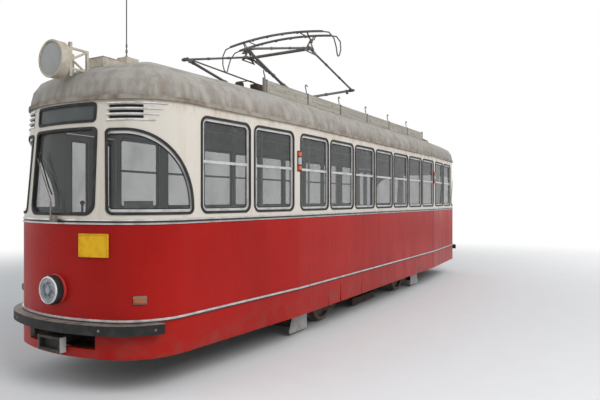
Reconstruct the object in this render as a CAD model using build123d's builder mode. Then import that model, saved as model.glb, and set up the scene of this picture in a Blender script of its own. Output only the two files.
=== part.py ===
from build123d import *
import os
from math import atan2, cos, pi, radians, sin, sqrt

os.makedirs("parts", exist_ok=True)

# Body outline in plan, millimetres
HALF_W = 1180
STRAIGHT_X = 2950
TAPER_ANGLE = 3.67
CORNER_R = 620
NOSE_X = 5628
NOSE_R = 1900
END_LEAN = 88
WALL = 45
JOINT_X = 4776
SEAM = 0.2

# Heights above the flange tips
SKIRT_Z = 360
MOULD_Z = 718
BELT_Z = 1620
SILL_Z = 1710
TRANSOM_Z = 2245
HEAD_Z = 2715
EAVES_Z = 2812
FLOOR_Z = 820
FLOOR_T = 45

# Side windows
WIN_PITCH = 843
WIN_W = 800
WIN_R = 95
GASKET_OUT = 12
GASKET_IN = 14
GASKET_PROUD = 8
FRAME_W = 26
GLASS_T = 6
GLASS_DEPTH = 24

# Running gear
WHEELBASE = 3250
TREAD_R = 330
FLANGE_H = 28
WHEEL_Y = 752
AXLE_Z = TREAD_R + FLANGE_H
JOURNAL_Y = 905
JOURNAL_R = 45
RUN_GAP = 0.06
SOLE_Y = 890
SOLE_Z = 610
SILL_Y = 330

# Doors
DOOR_FRONT = 4738
DOOR_REAR = 3939
DOOR_Z0 = 405
DOOR_Z1 = 2660
LEAF_T = 32
LEAF_RECESS = 8
JAMB_GAP = 15
LEAF_GAP = 6
CLOSE_GAP = 9
PIN_R = 8

# Pantograph
PANTO_X = 1584
PANTO_BASE_Z = 3450
PANTO_APEX_Z = 4200
PANTO_OFFSET = 60
PANTO_KNEE_X = 1586
PANTO_ARM_Y = 560
HEAD_TOP_Z = 4475

TAPER = radians(TAPER_ANGLE)
NORMAL = (sin(TAPER), cos(TAPER))
ALONG = (cos(TAPER), -sin(TAPER))


def taper_y(x):
    """Half width of the outer wall at a distance from the middle of the car."""
    return HALF_W - max(0.0, abs(x) - STRAIGHT_X) * sin(TAPER) / cos(TAPER)


def corner_centre(lean):
    """Centre of the corner arc that runs tangentially from the taper into the nose arc."""
    nose = NOSE_X - lean - NOSE_R
    across = NORMAL[0] * STRAIGHT_X + NORMAL[1] * HALF_W - CORNER_R
    run = ALONG[0] * nose + sqrt((NOSE_R - CORNER_R) ** 2 - (across - NORMAL[0] * nose) ** 2)
    return (across * NORMAL[0] + run * ALONG[0], across * NORMAL[1] + run * ALONG[1])


def outline_points(d, lean):
    """Points of one quarter of the outline, moved outward by d."""
    cx, cy = corner_centre(lean)
    nose = NOSE_X - lean - NOSE_R
    r_corner = CORNER_R + d
    r_nose = NOSE_R + d
    join_angle = atan2(cy, cx - nose)
    mid_angle = (join_angle + pi / 2 - TAPER) / 2
    join = (nose + r_nose * cos(join_angle), r_nose * sin(join_angle))
    middle = (cx + r_corner * cos(mid_angle), cy + r_corner * sin(mid_angle))
    tangent = (cx + r_corner * NORMAL[0], cy + r_corner * NORMAL[1])
    knee = (STRAIGHT_X + d * (1 - cos(TAPER)) / sin(TAPER), HALF_W + d)
    return join, middle, tangent, knee, (nose + r_nose, 0)


def plan(d, lean=0.0):
    """Outline of the body in plan, moved outward by d, its ends drawn in by lean."""
    join, middle, tangent, knee, nose = outline_points(d, lean)
    with BuildSketch() as sketch:
        with BuildLine():
            for sx in (1, -1):
                ThreePointArc((sx * join[0], -join[1]), (sx * nose[0], 0), (sx * join[0], join[1]))
                Line((-knee[0], sx * knee[1]), (knee[0], sx * knee[1]))
                for sy in (1, -1):
                    flip = [(sx * p[0], sy * p[1]) for p in (join, middle, tangent, knee)]
                    ThreePointArc(*flip[:3])
                    Line(flip[2], flip[3])
        make_face()
    return sketch.sketch


def lean_at(z):
    """How far the ends have drawn in at a height above the belt."""
    return END_LEAN * max(0.0, z - BELT_Z) / (EAVES_Z - BELT_Z)


UPPER_BODIES = {}


def upper_body(d):
    """Leaning body above the belt moved outward by d, up to the eaves."""
    if d not in UPPER_BODIES:
        with BuildPart() as solid:
            for z in (BELT_Z, EAVES_Z):
                with BuildSketch(Plane.XY.offset(z)):
                    add(plan(d, lean_at(z)))
            loft(ruled=True)
        UPPER_BODIES[d] = solid.part
    return UPPER_BODIES[d]


def body_band(outer, inner, z0, z1):
    """Closed band that follows the body between two offsets and two heights."""
    with BuildPart() as band:
        if z1 > BELT_Z:
            add(upper_body(outer))
            add(upper_body(inner), mode=Mode.SUBTRACT)
            with Locations((0, 0, (max(z0, BELT_Z) + z1) / 2)):
                Box(14000, 4000, z1 - max(z0, BELT_Z), mode=Mode.INTERSECT)
        if z0 < BELT_Z:
            with BuildSketch(Plane.XY.offset(z0)):
                add(plan(outer))
                add(plan(inner), mode=Mode.SUBTRACT)
            extrude(amount=min(z1, BELT_Z) - z0)
    return band.part


def body_core(d, z0, z1):
    """Whole body moved outward by d between two heights."""
    with BuildPart() as core:
        if z1 > BELT_Z:
            add(upper_body(d))
            with Locations((0, 0, (max(z0, BELT_Z) + z1) / 2)):
                Box(14000, 4000, z1 - max(z0, BELT_Z), mode=Mode.INTERSECT)
        if z0 < BELT_Z:
            with BuildSketch(Plane.XY.offset(z0)):
                add(plan(d))
            extrude(amount=min(z1, BELT_Z) - z0)
    return core.part


# Side windows, each with its middle and width along the car
SIDE_WINDOWS = [dict(x=WIN_PITCH * i, w=WIN_W) for i in (3, 2, 1, 0, -1, -2, -3)]
SIDE_WINDOWS += [dict(x=s * 3475, w=812) for s in (1, -1)]
END_WINDOWS = [dict(x=s * 4339, w=WIN_W) for s in (1, -1)]

QUARTER_ANGLE = 54
QUARTER_C = corner_centre(30)
QUARTER_NEAR = 330


def quarter_plane(sx, sy):
    """Upright plane that faces a corner window."""
    turn = radians(QUARTER_ANGLE)
    near_x = QUARTER_C[0] + QUARTER_NEAR * cos(turn)
    near_y = QUARTER_C[1] + QUARTER_NEAR * sin(turn)
    return Plane(
        origin=(sx * near_x, sy * near_y, 0),
        x_dir=(-sy * sin(turn), sx * cos(turn), 0),
        z_dir=(sx * cos(turn), sy * sin(turn), 0),
    )


def quarter_face(grow, flip):
    """Corner window: upright front edge, flat top, long fall to the rear corner."""
    front, rear = -417 - grow, 427 + grow
    low, top = 1709 - grow, 2530 + grow
    bend_x, bend_z = -260, 1790
    with BuildSketch() as sketch:
        with BuildLine():
            Polyline((rear, bend_z), (rear, low), (front, low), (front, top), (bend_x, top))
            EllipticalCenterArc((bend_x, bend_z), rear - bend_x, top - bend_z, start_angle=0, arc_size=90)
        make_face()
        fillet(sketch.vertices().sort_by(Axis.Y)[:2], 60 + grow)
        fillet(sketch.vertices().filter_by(lambda v: v.X < front + 5 and v.Y > top - 5), 45 + grow)
        if flip:
            mirror(about=Plane.YZ, mode=Mode.REPLACE)
    return sketch.sketch


def screen_face(grow):
    """Windscreen, a little narrower at the top, with round lower corners."""
    half_low, half_top = 480 + grow, 455 + grow
    low, top = 1702 - grow, 2548 + grow
    with BuildSketch() as sketch:
        with BuildLine():
            Polyline((-half_low, low), (half_low, low), (half_top, top), (-half_top, top), close=True)
        make_face()
        fillet(sketch.vertices().sort_by(Axis.Y)[:2], 110)
        fillet(sketch.vertices().sort_by(Axis.Y)[-2:], 55)
    return sketch.sketch


def side_prisms(table, grow, side):
    """Upright cutters for a table of side windows on one side of the car."""
    with BuildPart() as cutters:
        with BuildSketch(Plane.XZ.offset(-side * (HALF_W - 400))):
            for row in table:
                with Locations((row["x"], (SILL_Z + HEAD_Z) / 2)):
                    RectangleRounded(row["w"] + 2 * grow, HEAD_Z - SILL_Z + 2 * grow, WIN_R + grow)
        extrude(amount=-side * 600)
    return cutters.part


def end_prisms(grow):
    """Cutters for the windscreens and the corner windows at both ends."""
    with BuildPart() as cutters:
        for sx in (1, -1):
            with BuildSketch(Plane.YZ.offset(sx * 5300)):
                add(screen_face(grow))
            extrude(amount=sx * 500)
            for sy in (1, -1):
                with BuildSketch(quarter_plane(sx, sy)):
                    add(quarter_face(grow, sx * sy < 0))
                extrude(amount=700)
    return cutters.part


SIGN_Z = 2688
SIGN_W = 872
SIGN_H = 195


def sign_prisms(grow):
    """Cutters for the sign boxes over the windscreens."""
    with BuildPart() as cutters:
        for sx in (1, -1):
            with BuildSketch(Plane.YZ.offset(sx * 5300)):
                with Locations((0, SIGN_Z)):
                    RectangleRounded(SIGN_W + 2 * grow, SIGN_H + 2 * grow, 45 + grow)
            extrude(amount=sx * 500)
    return cutters.part


def wedge(a0, a1, z0, z1, sx=1, sy=1):
    """Slice of a corner between two angles and two heights."""
    cx, cy = QUARTER_C
    reach = 1300
    rim = [(cx + reach * cos(radians(a)), cy + reach * sin(radians(a))) for a in (a0, (a0 + a1) / 2, a1)]
    with BuildPart() as slice_part:
        with BuildSketch(Plane.XY.offset(z0)):
            Polygon(*[(sx * x, sy * y) for x, y in [(cx, cy)] + rim], align=None)
        extrude(amount=z1 - z0)
    return slice_part.part


def side_box(x0, x1, z0, z1, side, depth=400):
    """Box that reaches through one side wall."""
    with BuildPart() as box:
        with Locations(((x0 + x1) / 2, side * HALF_W, (z0 + z1) / 2)):
            Box(abs(x1 - x0), depth, z1 - z0)
    return box.part


INSET = -GASKET_OUT
LEFT_TABLE = SIDE_WINDOWS + END_WINDOWS
left_holes = side_prisms(LEFT_TABLE, INSET, 1)
right_holes = side_prisms(SIDE_WINDOWS, INSET, -1)
end_holes = end_prisms(INSET)
sign_holes = sign_prisms(INSET)
shell = body_band(0, -WALL, SKIRT_Z, EAVES_Z)

VENT_A = (12, 46)
VENT_SLOTS = [2622, 2675, 2727]
VENT_STRIPS = [dict(z=2604, a1=56.5), dict(z=2659, a1=60), dict(z=2711, a1=63.5), dict(z=2765, a1=68)]
VENT_H = 28
VENT_STRIP_H = 12
POCKET_HALF = 489
POCKET_Z = (446, 577)


def pocket(sx):
    """Opening in the apron for the coupler."""
    with BuildPart() as box:
        with Locations((sx * (NOSE_X - 100), 0, (POCKET_Z[0] + POCKET_Z[1]) / 2)):
            Box(400, 2 * POCKET_HALF, POCKET_Z[1] - POCKET_Z[0])
    return box.part


# Front end, from the rear pillar of the corner windows forward
with BuildPart() as front_end_shell:
    add(shell)
    with Locations((JOINT_X + 1000, 0, 1500)):
        Box(2000, 3000, 3000, mode=Mode.INTERSECT)
    add(end_holes, mode=Mode.SUBTRACT)
    add(sign_holes, mode=Mode.SUBTRACT)
    for slot_z in VENT_SLOTS:
        for sy in (1, -1):
            add(wedge(VENT_A[0], VENT_A[1], slot_z, slot_z + VENT_H, 1, sy), mode=Mode.SUBTRACT)
    add(pocket(1), mode=Mode.SUBTRACT)

# Rear end, the same without vents
with BuildPart() as rear_end_shell:
    add(shell)
    with Locations((-JOINT_X - 1000, 0, 1500)):
        Box(2000, 3000, 3000, mode=Mode.INTERSECT)
    add(end_holes, mode=Mode.SUBTRACT)
    add(sign_holes, mode=Mode.SUBTRACT)
    add(pocket(-1), mode=Mode.SUBTRACT)

# Skirt flaps over the running gear, hung from their top edges
FLAP_TOP = 632
FLAPS = [dict(x0=974, x1=1740), dict(x0=1740, x1=2152), dict(x0=-1740, x1=-974), dict(x0=-2152, x1=-1740)]
FLAP_SEAM = 5
FLAP_TAPER = 18
FLAP_T = 24


def flap_solid(side):
    """Openings in one skirt for the flaps."""
    with BuildPart() as openings:
        for flap in FLAPS:
            add(side_box(flap["x0"], flap["x1"], SKIRT_Z - 10, FLAP_TOP, side))
    return openings.part


# Left side wall with eleven windows
with BuildPart() as left_side_wall:
    add(shell)
    with Locations((0, HALF_W, 1500)):
        Box(2 * JOINT_X, 2 * HALF_W, 3000, mode=Mode.INTERSECT)
    add(left_holes, mode=Mode.SUBTRACT)
    add(flap_solid(1), mode=Mode.SUBTRACT)

# Plane of the right taper at the rear jamb of the front door
DOOR_PLANE = Plane(
    origin=(DOOR_REAR, -taper_y(DOOR_REAR), 0),
    x_dir=(cos(TAPER), sin(TAPER), 0),
    z_dir=(0, 0, 1),
)
DOOR_W = (DOOR_FRONT - DOOR_REAR) / cos(TAPER)
PIVOT_Y = LEAF_RECESS + LEAF_T / 2
PIVOT_S = JAMB_GAP + LEAF_T / 2
KNUCKLE_R = 9
MIDDLE_S = (PIVOT_S + DOOR_W - CLOSE_GAP - LEAF_T / 2) / 2
MIDDLE_Y = LEAF_RECESS + LEAF_T + KNUCKLE_R
PIN_DEPTH = 16

# Door opening with blind bores for the leaf pivots
with BuildPart() as door_opening:
    with BuildSketch(DOOR_PLANE.offset(DOOR_Z0)):
        with Locations((DOOR_W / 2, 0)):
            Rectangle(DOOR_W, 300)
    extrude(amount=DOOR_Z1 - DOOR_Z0)
    with BuildSketch(DOOR_PLANE.offset(DOOR_Z0 - PIN_DEPTH)):
        with Locations((PIVOT_S, PIVOT_Y)):
            Circle(PIN_R + RUN_GAP)
    extrude(amount=DOOR_Z1 - DOOR_Z0 + 2 * PIN_DEPTH)

# Right side wall with nine windows, and a sill, a post and a header round each doorway
with BuildPart() as right_side_wall:
    add(shell)
    with Locations((0, -HALF_W, 1500)):
        Box(2 * JOINT_X, 2 * HALF_W, 3000, mode=Mode.INTERSECT)
    add(right_holes, mode=Mode.SUBTRACT)
    add(flap_solid(-1), mode=Mode.SUBTRACT)
    add(door_opening.part, mode=Mode.SUBTRACT)
    add(door_opening.part.mirror(Plane.YZ), mode=Mode.SUBTRACT)
    for sx in (1, -1):
        with Locations((sx * (DOOR_REAR - SEAM / 2), -HALF_W, 1500)):
            Box(SEAM, 1000, 3000, mode=Mode.SUBTRACT)
        for z in (DOOR_Z0 + SEAM / 2, DOOR_Z1 - SEAM / 2):
            with Locations((sx * (DOOR_FRONT + JOINT_X) / 2, -HALF_W, z)):
                Box(JOINT_X - DOOR_FRONT + 20, 1000, SEAM, mode=Mode.SUBTRACT)

# Flaps in both skirts, a little narrower at the bottom
with BuildPart() as skirt_flaps:
    for side in (1, -1):
        with BuildSketch(Plane.XZ.offset(-side * (HALF_W - FLAP_T))):
            for flap in FLAPS:
                x0, x1 = flap["x0"] + FLAP_SEAM / 2, flap["x1"] - FLAP_SEAM / 2
                Polygon(
                    (x0 + FLAP_TAPER, SKIRT_Z), (x1 - FLAP_TAPER, SKIRT_Z), (x1, FLAP_TOP), (x0, FLAP_TOP),
                    align=None,
                )
        extrude(amount=-side * FLAP_T)

# Roof, lofted through ever smaller outlines
ROOF_SECTIONS = [
    dict(d=8, z=EAVES_Z),
    dict(d=4, z=2890),
    dict(d=-22, z=3000),
    dict(d=-90, z=3098),
    dict(d=-260, z=3190),
    dict(d=-480, z=3270),
    dict(d=-560, z=3292),
]
ROOF_T = 32
RIDGE_Z = 3392


def roof_solid(drop):
    """Domed roof moved inward by drop."""
    with BuildPart() as dome:
        for row in ROOF_SECTIONS:
            z = row["z"] if row["z"] == EAVES_Z else row["z"] - drop * 0.8
            with BuildSketch(Plane.XY.offset(z)):
                add(plan(row["d"] - drop, END_LEAN))
        loft(ruled=True)
        with BuildSketch(Plane.XY.offset(ROOF_SECTIONS[-1]["z"] - drop * 0.8)):
            add(plan(ROOF_SECTIONS[-1]["d"] - drop, END_LEAN))
        with BuildSketch(Plane.XY.offset(RIDGE_Z - drop * 0.8)):
            Rectangle(2 * 3300, 160)
        loft(ruled=True)
    return dome.part


with BuildPart() as roof_shell:
    add(roof_solid(0))
    add(roof_solid(ROOF_T), mode=Mode.SUBTRACT)
    for sx in (1, -1):
        with Locations((sx * JOINT_X, 0, 3100)):
            Box(SEAM, 3000, 1000, mode=Mode.SUBTRACT)
        with Locations((sx * (JOINT_X + 500), 0, 3100)):
            Box(1000, SEAM, 1000, mode=Mode.SUBTRACT)

# Rain gutter round the eaves
GUTTER_H = 34
with BuildPart() as roof_gutter:
    add(body_band(26, 0, EAVES_Z - 8, EAVES_Z))
    with BuildSketch(Plane.XY.offset(EAVES_Z)):
        add(plan(26, END_LEAN))
        add(plan(9, END_LEAN), mode=Mode.SUBTRACT)
    extrude(amount=GUTTER_H)
    with BuildSketch(Plane.XY.offset(EAVES_Z + GUTTER_H)):
        add(plan(22, END_LEAN))
        add(plan(12, END_LEAN), mode=Mode.SUBTRACT)
    extrude(amount=-20, mode=Mode.SUBTRACT)

# Glass, rubbers and frames all follow the wall
with BuildPart() as side_glazing:
    add(body_band(-GLASS_DEPTH, -GLASS_DEPTH - GLASS_T, SILL_Z - 20, HEAD_Z + 20))
    with BuildPart(mode=Mode.INTERSECT):
        add(side_prisms(LEFT_TABLE, INSET - GASKET_IN, 1))
        add(side_prisms(SIDE_WINDOWS, INSET - GASKET_IN, -1))

with BuildPart() as end_glazing:
    add(body_band(-GLASS_DEPTH, -GLASS_DEPTH - GLASS_T, SILL_Z - 20, HEAD_Z + 20))
    add(end_prisms(INSET - GASKET_IN), mode=Mode.INTERSECT)

with BuildPart() as sign_panels:
    add(body_band(-8, -GLASS_DEPTH, SILL_Z - 20, EAVES_Z))
    add(sign_prisms(INSET - GASKET_IN), mode=Mode.INTERSECT)


def all_prisms(grow):
    """Every window cutter at once."""
    with BuildPart() as cutters:
        add(side_prisms(LEFT_TABLE, grow, 1))
        add(side_prisms(SIDE_WINDOWS, grow, -1))
        add(end_prisms(grow))
        add(sign_prisms(grow))
    return cutters.part


with BuildPart() as gasket_lips:
    add(body_band(GASKET_PROUD, 0, SILL_Z - 60, EAVES_Z - 8))
    add(all_prisms(0), mode=Mode.INTERSECT)

with BuildPart() as gasket_webs:
    add(body_band(0, -GLASS_DEPTH - GLASS_T - 2, SILL_Z - 60, EAVES_Z - 8))
    add(all_prisms(INSET), mode=Mode.INTERSECT)

with BuildPart() as window_gaskets:
    add(gasket_lips.part)
    add(gasket_webs.part)
    add(all_prisms(INSET - GASKET_IN), mode=Mode.SUBTRACT)

# Bright frames with a transom bar in each side window
with BuildPart() as window_frames:
    add(body_band(-6, -GLASS_DEPTH, SILL_Z - 20, HEAD_Z + 20))
    with BuildPart(mode=Mode.INTERSECT):
        add(side_prisms(LEFT_TABLE, INSET - GASKET_IN, 1))
        add(side_prisms(SIDE_WINDOWS, INSET - GASKET_IN, -1))
    with BuildPart(mode=Mode.SUBTRACT):
        for side, table in ((1, LEFT_TABLE), (-1, SIDE_WINDOWS)):
            add(side_prisms(table, INSET - GASKET_IN - FRAME_W, side))
        with Locations((0, 0, TRANSOM_Z)):
            Box(10000, 3000, 30, mode=Mode.SUBTRACT)

# Bright trim at the belt and the lower moulding, open at the doorways
with BuildPart() as belt_trim:
    add(body_band(10, 0, BELT_Z + 1, BELT_Z + 15))
    add(body_band(10, 0, BELT_Z + 34, BELT_Z + 48))
    for sx in (1, -1):
        with Locations((sx * (DOOR_FRONT + DOOR_REAR) / 2, -HALF_W, BELT_Z)):
            Box(DOOR_FRONT - DOOR_REAR + 40, 500, 300, mode=Mode.SUBTRACT)

with BuildPart() as lower_moulding:
    add(body_band(14, 0, MOULD_Z - 16, MOULD_Z + 16))
    for sx in (1, -1):
        with Locations((sx * (DOOR_FRONT + DOOR_REAR) / 2, -HALF_W, MOULD_Z)):
            Box(DOOR_FRONT - DOOR_REAR + 40, 500, 300, mode=Mode.SUBTRACT)

# Bumper beams with a rubber face, under the moulding at each end
BUMPER_Z0 = 600
BUMPER_Z1 = 694
BUMPER_D = 96
BUMPER_X = 5250
BUMPER_EDGE = 5
with BuildPart() as bumpers:
    add(body_band(BUMPER_D, 0, BUMPER_Z0, BUMPER_Z1))
    rims = [face.outer_wire() for face in bumpers.faces().filter_by(Axis.Z)]
    chamfer([edge for rim in rims for edge in rim.edges()], BUMPER_EDGE)
    with Locations((0, 0, BUMPER_Z0)):
        Box(2 * BUMPER_X, 3000, 400, mode=Mode.SUBTRACT)

# Floor: one plate from the left wall to the step wells, three plates beside them
STEP_1_Z = 430
STEP_2_Z = 625
STEP_T = 30
RISER_T = 10
WELL_Y = 430
RISER_Y = 725
TREAD_Y = 985
DOOR_MID = (DOOR_FRONT + DOOR_REAR) / 2
DOOR_SPAN = DOOR_FRONT - DOOR_REAR
with BuildPart() as floor_deck:
    add(body_core(-WALL, FLOOR_Z - FLOOR_T, FLOOR_Z))
    with Locations((0, -WELL_Y + HALF_W, FLOOR_Z)):
        Box(14000, 2 * HALF_W, 200, mode=Mode.INTERSECT)

with BuildPart() as floor_right:
    add(body_core(-WALL, FLOOR_Z - FLOOR_T, FLOOR_Z))
    with Locations((0, -WELL_Y - HALF_W, FLOOR_Z)):
        Box(14000, 2 * HALF_W, 200, mode=Mode.INTERSECT)
    for sx in (1, -1):
        with Locations((sx * DOOR_MID, -WELL_Y - HALF_W, FLOOR_Z)):
            Box(DOOR_SPAN, 2 * HALF_W, 200, mode=Mode.SUBTRACT)

# Two steps behind each doorway
with BuildPart() as door_steps:
    for sx in (1, -1):
        for z, y0, y1 in ((STEP_1_Z, TREAD_Y, RISER_Y - RISER_T), (STEP_2_Z, RISER_Y, WELL_Y)):
            with Locations((sx * DOOR_MID, -(y0 + y1) / 2, z - STEP_T / 2)):
                Box(DOOR_SPAN, y0 - y1, STEP_T)
        for y, z0, z1 in ((RISER_Y, STEP_1_Z, STEP_2_Z), (WELL_Y + RISER_T, STEP_2_Z, FLOOR_Z)):
            with Locations((sx * DOOR_MID, RISER_T / 2 - y, (z0 - STEP_T + z1) / 2)):
                Box(DOOR_SPAN, RISER_T, z1 - z0 + STEP_T)

# Sole bars and end beams under the floor
UNDER_Z = FLOOR_Z - FLOOR_T
SOLE_H = UNDER_Z - SOLE_Z
CROSS_Z = SOLE_Z + 60
BAR_W = 60
END_BEAM_X = 4750
with BuildPart() as underframe:
    for sy in (1, -1):
        with Locations((0, sy * SOLE_Y, SOLE_Z + SOLE_H / 2)):
            Box(2 * 3600, BAR_W, SOLE_H)
    for sx in (1, -1):
        with Locations((sx * (END_BEAM_X + 50), 0, (CROSS_Z + UNDER_Z) / 2)):
            Box(100, 1500, UNDER_Z - CROSS_Z)

# Centre sills from end beam to end beam
with BuildPart() as centre_sills:
    for sy in (1, -1):
        with Locations((0, sy * SILL_Y, (CROSS_Z + UNDER_Z) / 2)):
            Box(2 * END_BEAM_X, BAR_W, UNDER_Z - CROSS_Z)

# Cross members in three lengths between sills and sole bars
CROSS_X = [-3050, -2400, -1150, -800, -380, 380, 800, 1150, 2400, 3050]
CROSS_W = 80
with BuildPart() as cross_members:
    for x in CROSS_X:
        with Locations((x, 0, (CROSS_Z + UNDER_Z) / 2)):
            Box(CROSS_W, 2 * SILL_Y - BAR_W, UNDER_Z - CROSS_Z)
        for sy in (1, -1):
            with Locations((x, sy * (SOLE_Y + SILL_Y) / 2, (CROSS_Z + UNDER_Z) / 2)):
                Box(CROSS_W, SOLE_Y - SILL_Y - BAR_W, UNDER_Z - CROSS_Z)


WHEEL_PROFILE = [
    (65, 60), (65, 100), (22, 120), (12, 265), (60, 278), (60, 324), (-34, 331), (-42, 350),
    (-50, TREAD_R + FLANGE_H), (-60, TREAD_R + FLANGE_H), (-70, 340), (-70, 278), (-16, 265), (-8, 120),
    (-65, 100), (-65, 60),
]


def wheelset(x):
    """Axle with two flanged wheels and its journals."""
    with BuildPart() as pair:
        with BuildSketch(Plane.YZ.offset(0)):
            with BuildLine():
                Polyline(
                    (-JOURNAL_Y - 60, 0), (-JOURNAL_Y - 60, JOURNAL_R), (-JOURNAL_Y + 55, JOURNAL_R),
                    (-JOURNAL_Y + 55, 62), (-WHEEL_Y - 60, 62), (-WHEEL_Y - 60, 70),
                    (WHEEL_Y + 60, 70), (WHEEL_Y + 60, 62), (JOURNAL_Y - 55, 62),
                    (JOURNAL_Y - 55, JOURNAL_R), (JOURNAL_Y + 60, JOURNAL_R), (JOURNAL_Y + 60, 0),
                    close=True,
                )
            make_face()
            for s in (1, -1):
                with BuildLine():
                    Polyline(*[(s * (WHEEL_Y + y), r) for y, r in WHEEL_PROFILE], close=True)
                make_face()
        revolve(axis=Axis.Y)
    return pair.part.moved(Location((x, 0, AXLE_Z)))


AXLES = [WHEELBASE / 2, -WHEELBASE / 2]
with BuildPart() as front_wheelset:
    add(wheelset(AXLES[0]))

with BuildPart() as rear_wheelset:
    add(wheelset(AXLES[1]))

# Axle boxes in their guards, bolted to the sole bars
BOX_W = 170
GUARD_T = 14
GUARD_Y = SOLE_Y + 30
with BuildPart() as axle_guards:
    for x in AXLES:
        for sy in (1, -1):
            with Locations((x, sy * (JOURNAL_Y + 7), AXLE_Z)):
                Box(BOX_W, 110, 180)
                with Locations(Rotation(90, 0, 0)):
                    Cylinder(JOURNAL_R + RUN_GAP, 112, mode=Mode.SUBTRACT)
            with Locations((x, sy * (JOURNAL_Y + 70), AXLE_Z)):
                with Locations(Rotation(90, 0, 0)):
                    Cylinder(70, 16)
    for x in AXLES:
        for sy in (1, -1):
            with BuildSketch(Plane.XZ.offset(-sy * GUARD_Y)):
                with Locations((x, 0)):
                    Polygon(
                        (-330, SOLE_Z + 120), (330, SOLE_Z + 120), (330, SOLE_Z - 20), (160, 200), (-160, 200),
                        (-330, SOLE_Z - 20), align=None,
                    )
                with Locations((x, AXLE_Z + 80)):
                    Rectangle(BOX_W, 340, mode=Mode.SUBTRACT)
            extrude(amount=-sy * GUARD_T)

# Leaf springs between boxes and sole bars
SPRING_LEAVES = 6
LEAF_H = 13
with BuildPart() as leaf_springs:
    for x in AXLES:
        for sy in (1, -1):
            for i in range(SPRING_LEAVES):
                with Locations((x, sy * (SOLE_Y - 25), AXLE_Z + 90 + LEAF_H * (i + 0.5))):
                    Box(260 + 150 * i, 70, LEAF_H)
            top = AXLE_Z + 90 + LEAF_H * SPRING_LEAVES
            for s in (1, -1):
                with Locations((x + s * 480, sy * (SOLE_Y - 25), (top + SOLE_Z) / 2)):
                    Box(50, 50, SOLE_Z - top)

# Brake blocks on hangers, and track brakes over the rails
SHOE_GAP = 8
with BuildPart() as brake_gear:
    for x in AXLES:
        for sy in (1, -1):
            for s in (1, -1):
                with BuildSketch(Plane.XZ.offset(-sy * (WHEEL_Y - 20))):
                    with Locations((x, AXLE_Z)):
                        Circle(TREAD_R + 75)
                        Circle(TREAD_R + SHOE_GAP, mode=Mode.SUBTRACT)
                        with Locations((s * 500, 0)):
                            Rectangle(500, 260, mode=Mode.INTERSECT)
                extrude(amount=-sy * 60)
                with Locations((x + s * (TREAD_R + 60), sy * (WHEEL_Y + 10), (AXLE_Z + 60 + UNDER_Z) / 2)):
                    Box(22, 30, UNDER_Z - AXLE_Z - 60)

BRAKE_Z = (50, 160)
BRAKE_HANGER_X = 380
with BuildPart() as track_brakes:
    for sy in (1, -1):
        with Locations((0, sy * WHEEL_Y, (BRAKE_Z[0] + BRAKE_Z[1]) / 2)):
            Box(960, 70, BRAKE_Z[1] - BRAKE_Z[0])

# Hangers from the cross members to the track brakes
with BuildPart() as brake_hangers:
    for x in (-BRAKE_HANGER_X, BRAKE_HANGER_X):
        for sy in (1, -1):
            with Locations((x, sy * WHEEL_Y, (BRAKE_Z[1] + CROSS_Z) / 2)):
                Box(50, 40, CROSS_Z - BRAKE_Z[1])

# Motor blocks beside the axles
with BuildPart() as traction_motors:
    for sx in (1, -1):
        with Locations((sx * (WHEELBASE / 2 - 400), 0, 430)):
            Box(560, 560, 480)

# Guard plates before the wheels, hung from the sole bars
GUARD_PLATE_Y = 880
GUARD_PLATE_T = 10
GUARD_X = (2240, 2720)
GUARD_Z = (40, 360)
GUARD_SLANT = 130
with BuildPart() as lifeguards:
    for sy in (1, -1):
        with BuildSketch(Plane.XZ.offset(-sy * GUARD_PLATE_Y)):
            for sx in (1, -1):
                rim = [
                    (GUARD_X[0], GUARD_Z[0]), (GUARD_X[1] - 20, GUARD_Z[0]), (GUARD_X[1], GUARD_Z[0] + 30),
                    (GUARD_X[1] - GUARD_SLANT, GUARD_Z[1]), (GUARD_X[0], GUARD_Z[1]),
                ]
                Polygon(*[(sx * x, z) for x, z in rim], align=None)
        extrude(amount=-sy * GUARD_PLATE_T)
        for sx in (1, -1):
            with Locations((sx * 2400, sy * (GUARD_PLATE_Y + GUARD_PLATE_T / 2), (GUARD_Z[1] + SOLE_Z) / 2)):
                Box(60, GUARD_PLATE_T, SOLE_Z - GUARD_Z[1])

# Cross boards between the guard plates
with BuildPart() as guard_boards:
    for sx in (1, -1):
        with Locations((sx * 2560, 0, 195)):
            Box(12, 2 * GUARD_PLATE_Y, 190)

# Couplers under the bumpers: open box heads on square tubes
COUPLER_Z = 495
HEAD_BACK_X = 5634
HEAD_L = 66
HEAD_W = 332
HEAD_H = 145
HEAD_MID_Z = 472.5
COUPLER_WALL = 25
COUPLER_BACK = 12
COUPLER_PIN_X = 5670
COUPLER_PIN_R = 20
with BuildPart() as couplers:
    for sx in (1, -1):
        with Locations((sx * (HEAD_BACK_X + END_BEAM_X + 40) / 2, 0, COUPLER_Z)):
            Box(HEAD_BACK_X - END_BEAM_X - 40, 110, 78)
        with Locations((sx * (END_BEAM_X + 90), 0, (COUPLER_Z + CROSS_Z) / 2)):
            Box(90, 160, CROSS_Z - COUPLER_Z)
        with Locations((sx * (HEAD_BACK_X + HEAD_L / 2), 0, HEAD_MID_Z)):
            Box(HEAD_L, HEAD_W, HEAD_H)
        with Locations((sx * (HEAD_BACK_X + HEAD_L / 2 + COUPLER_BACK), 0, HEAD_MID_Z)):
            Box(HEAD_L, HEAD_W - 2 * COUPLER_WALL, HEAD_H - 2 * COUPLER_WALL, mode=Mode.SUBTRACT)
        with Locations((sx * COUPLER_PIN_X, 0, HEAD_MID_Z - HEAD_H / 2 + COUPLER_WALL / 2)):
            Cylinder(COUPLER_PIN_R, COUPLER_WALL + 2, mode=Mode.SUBTRACT)

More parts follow.
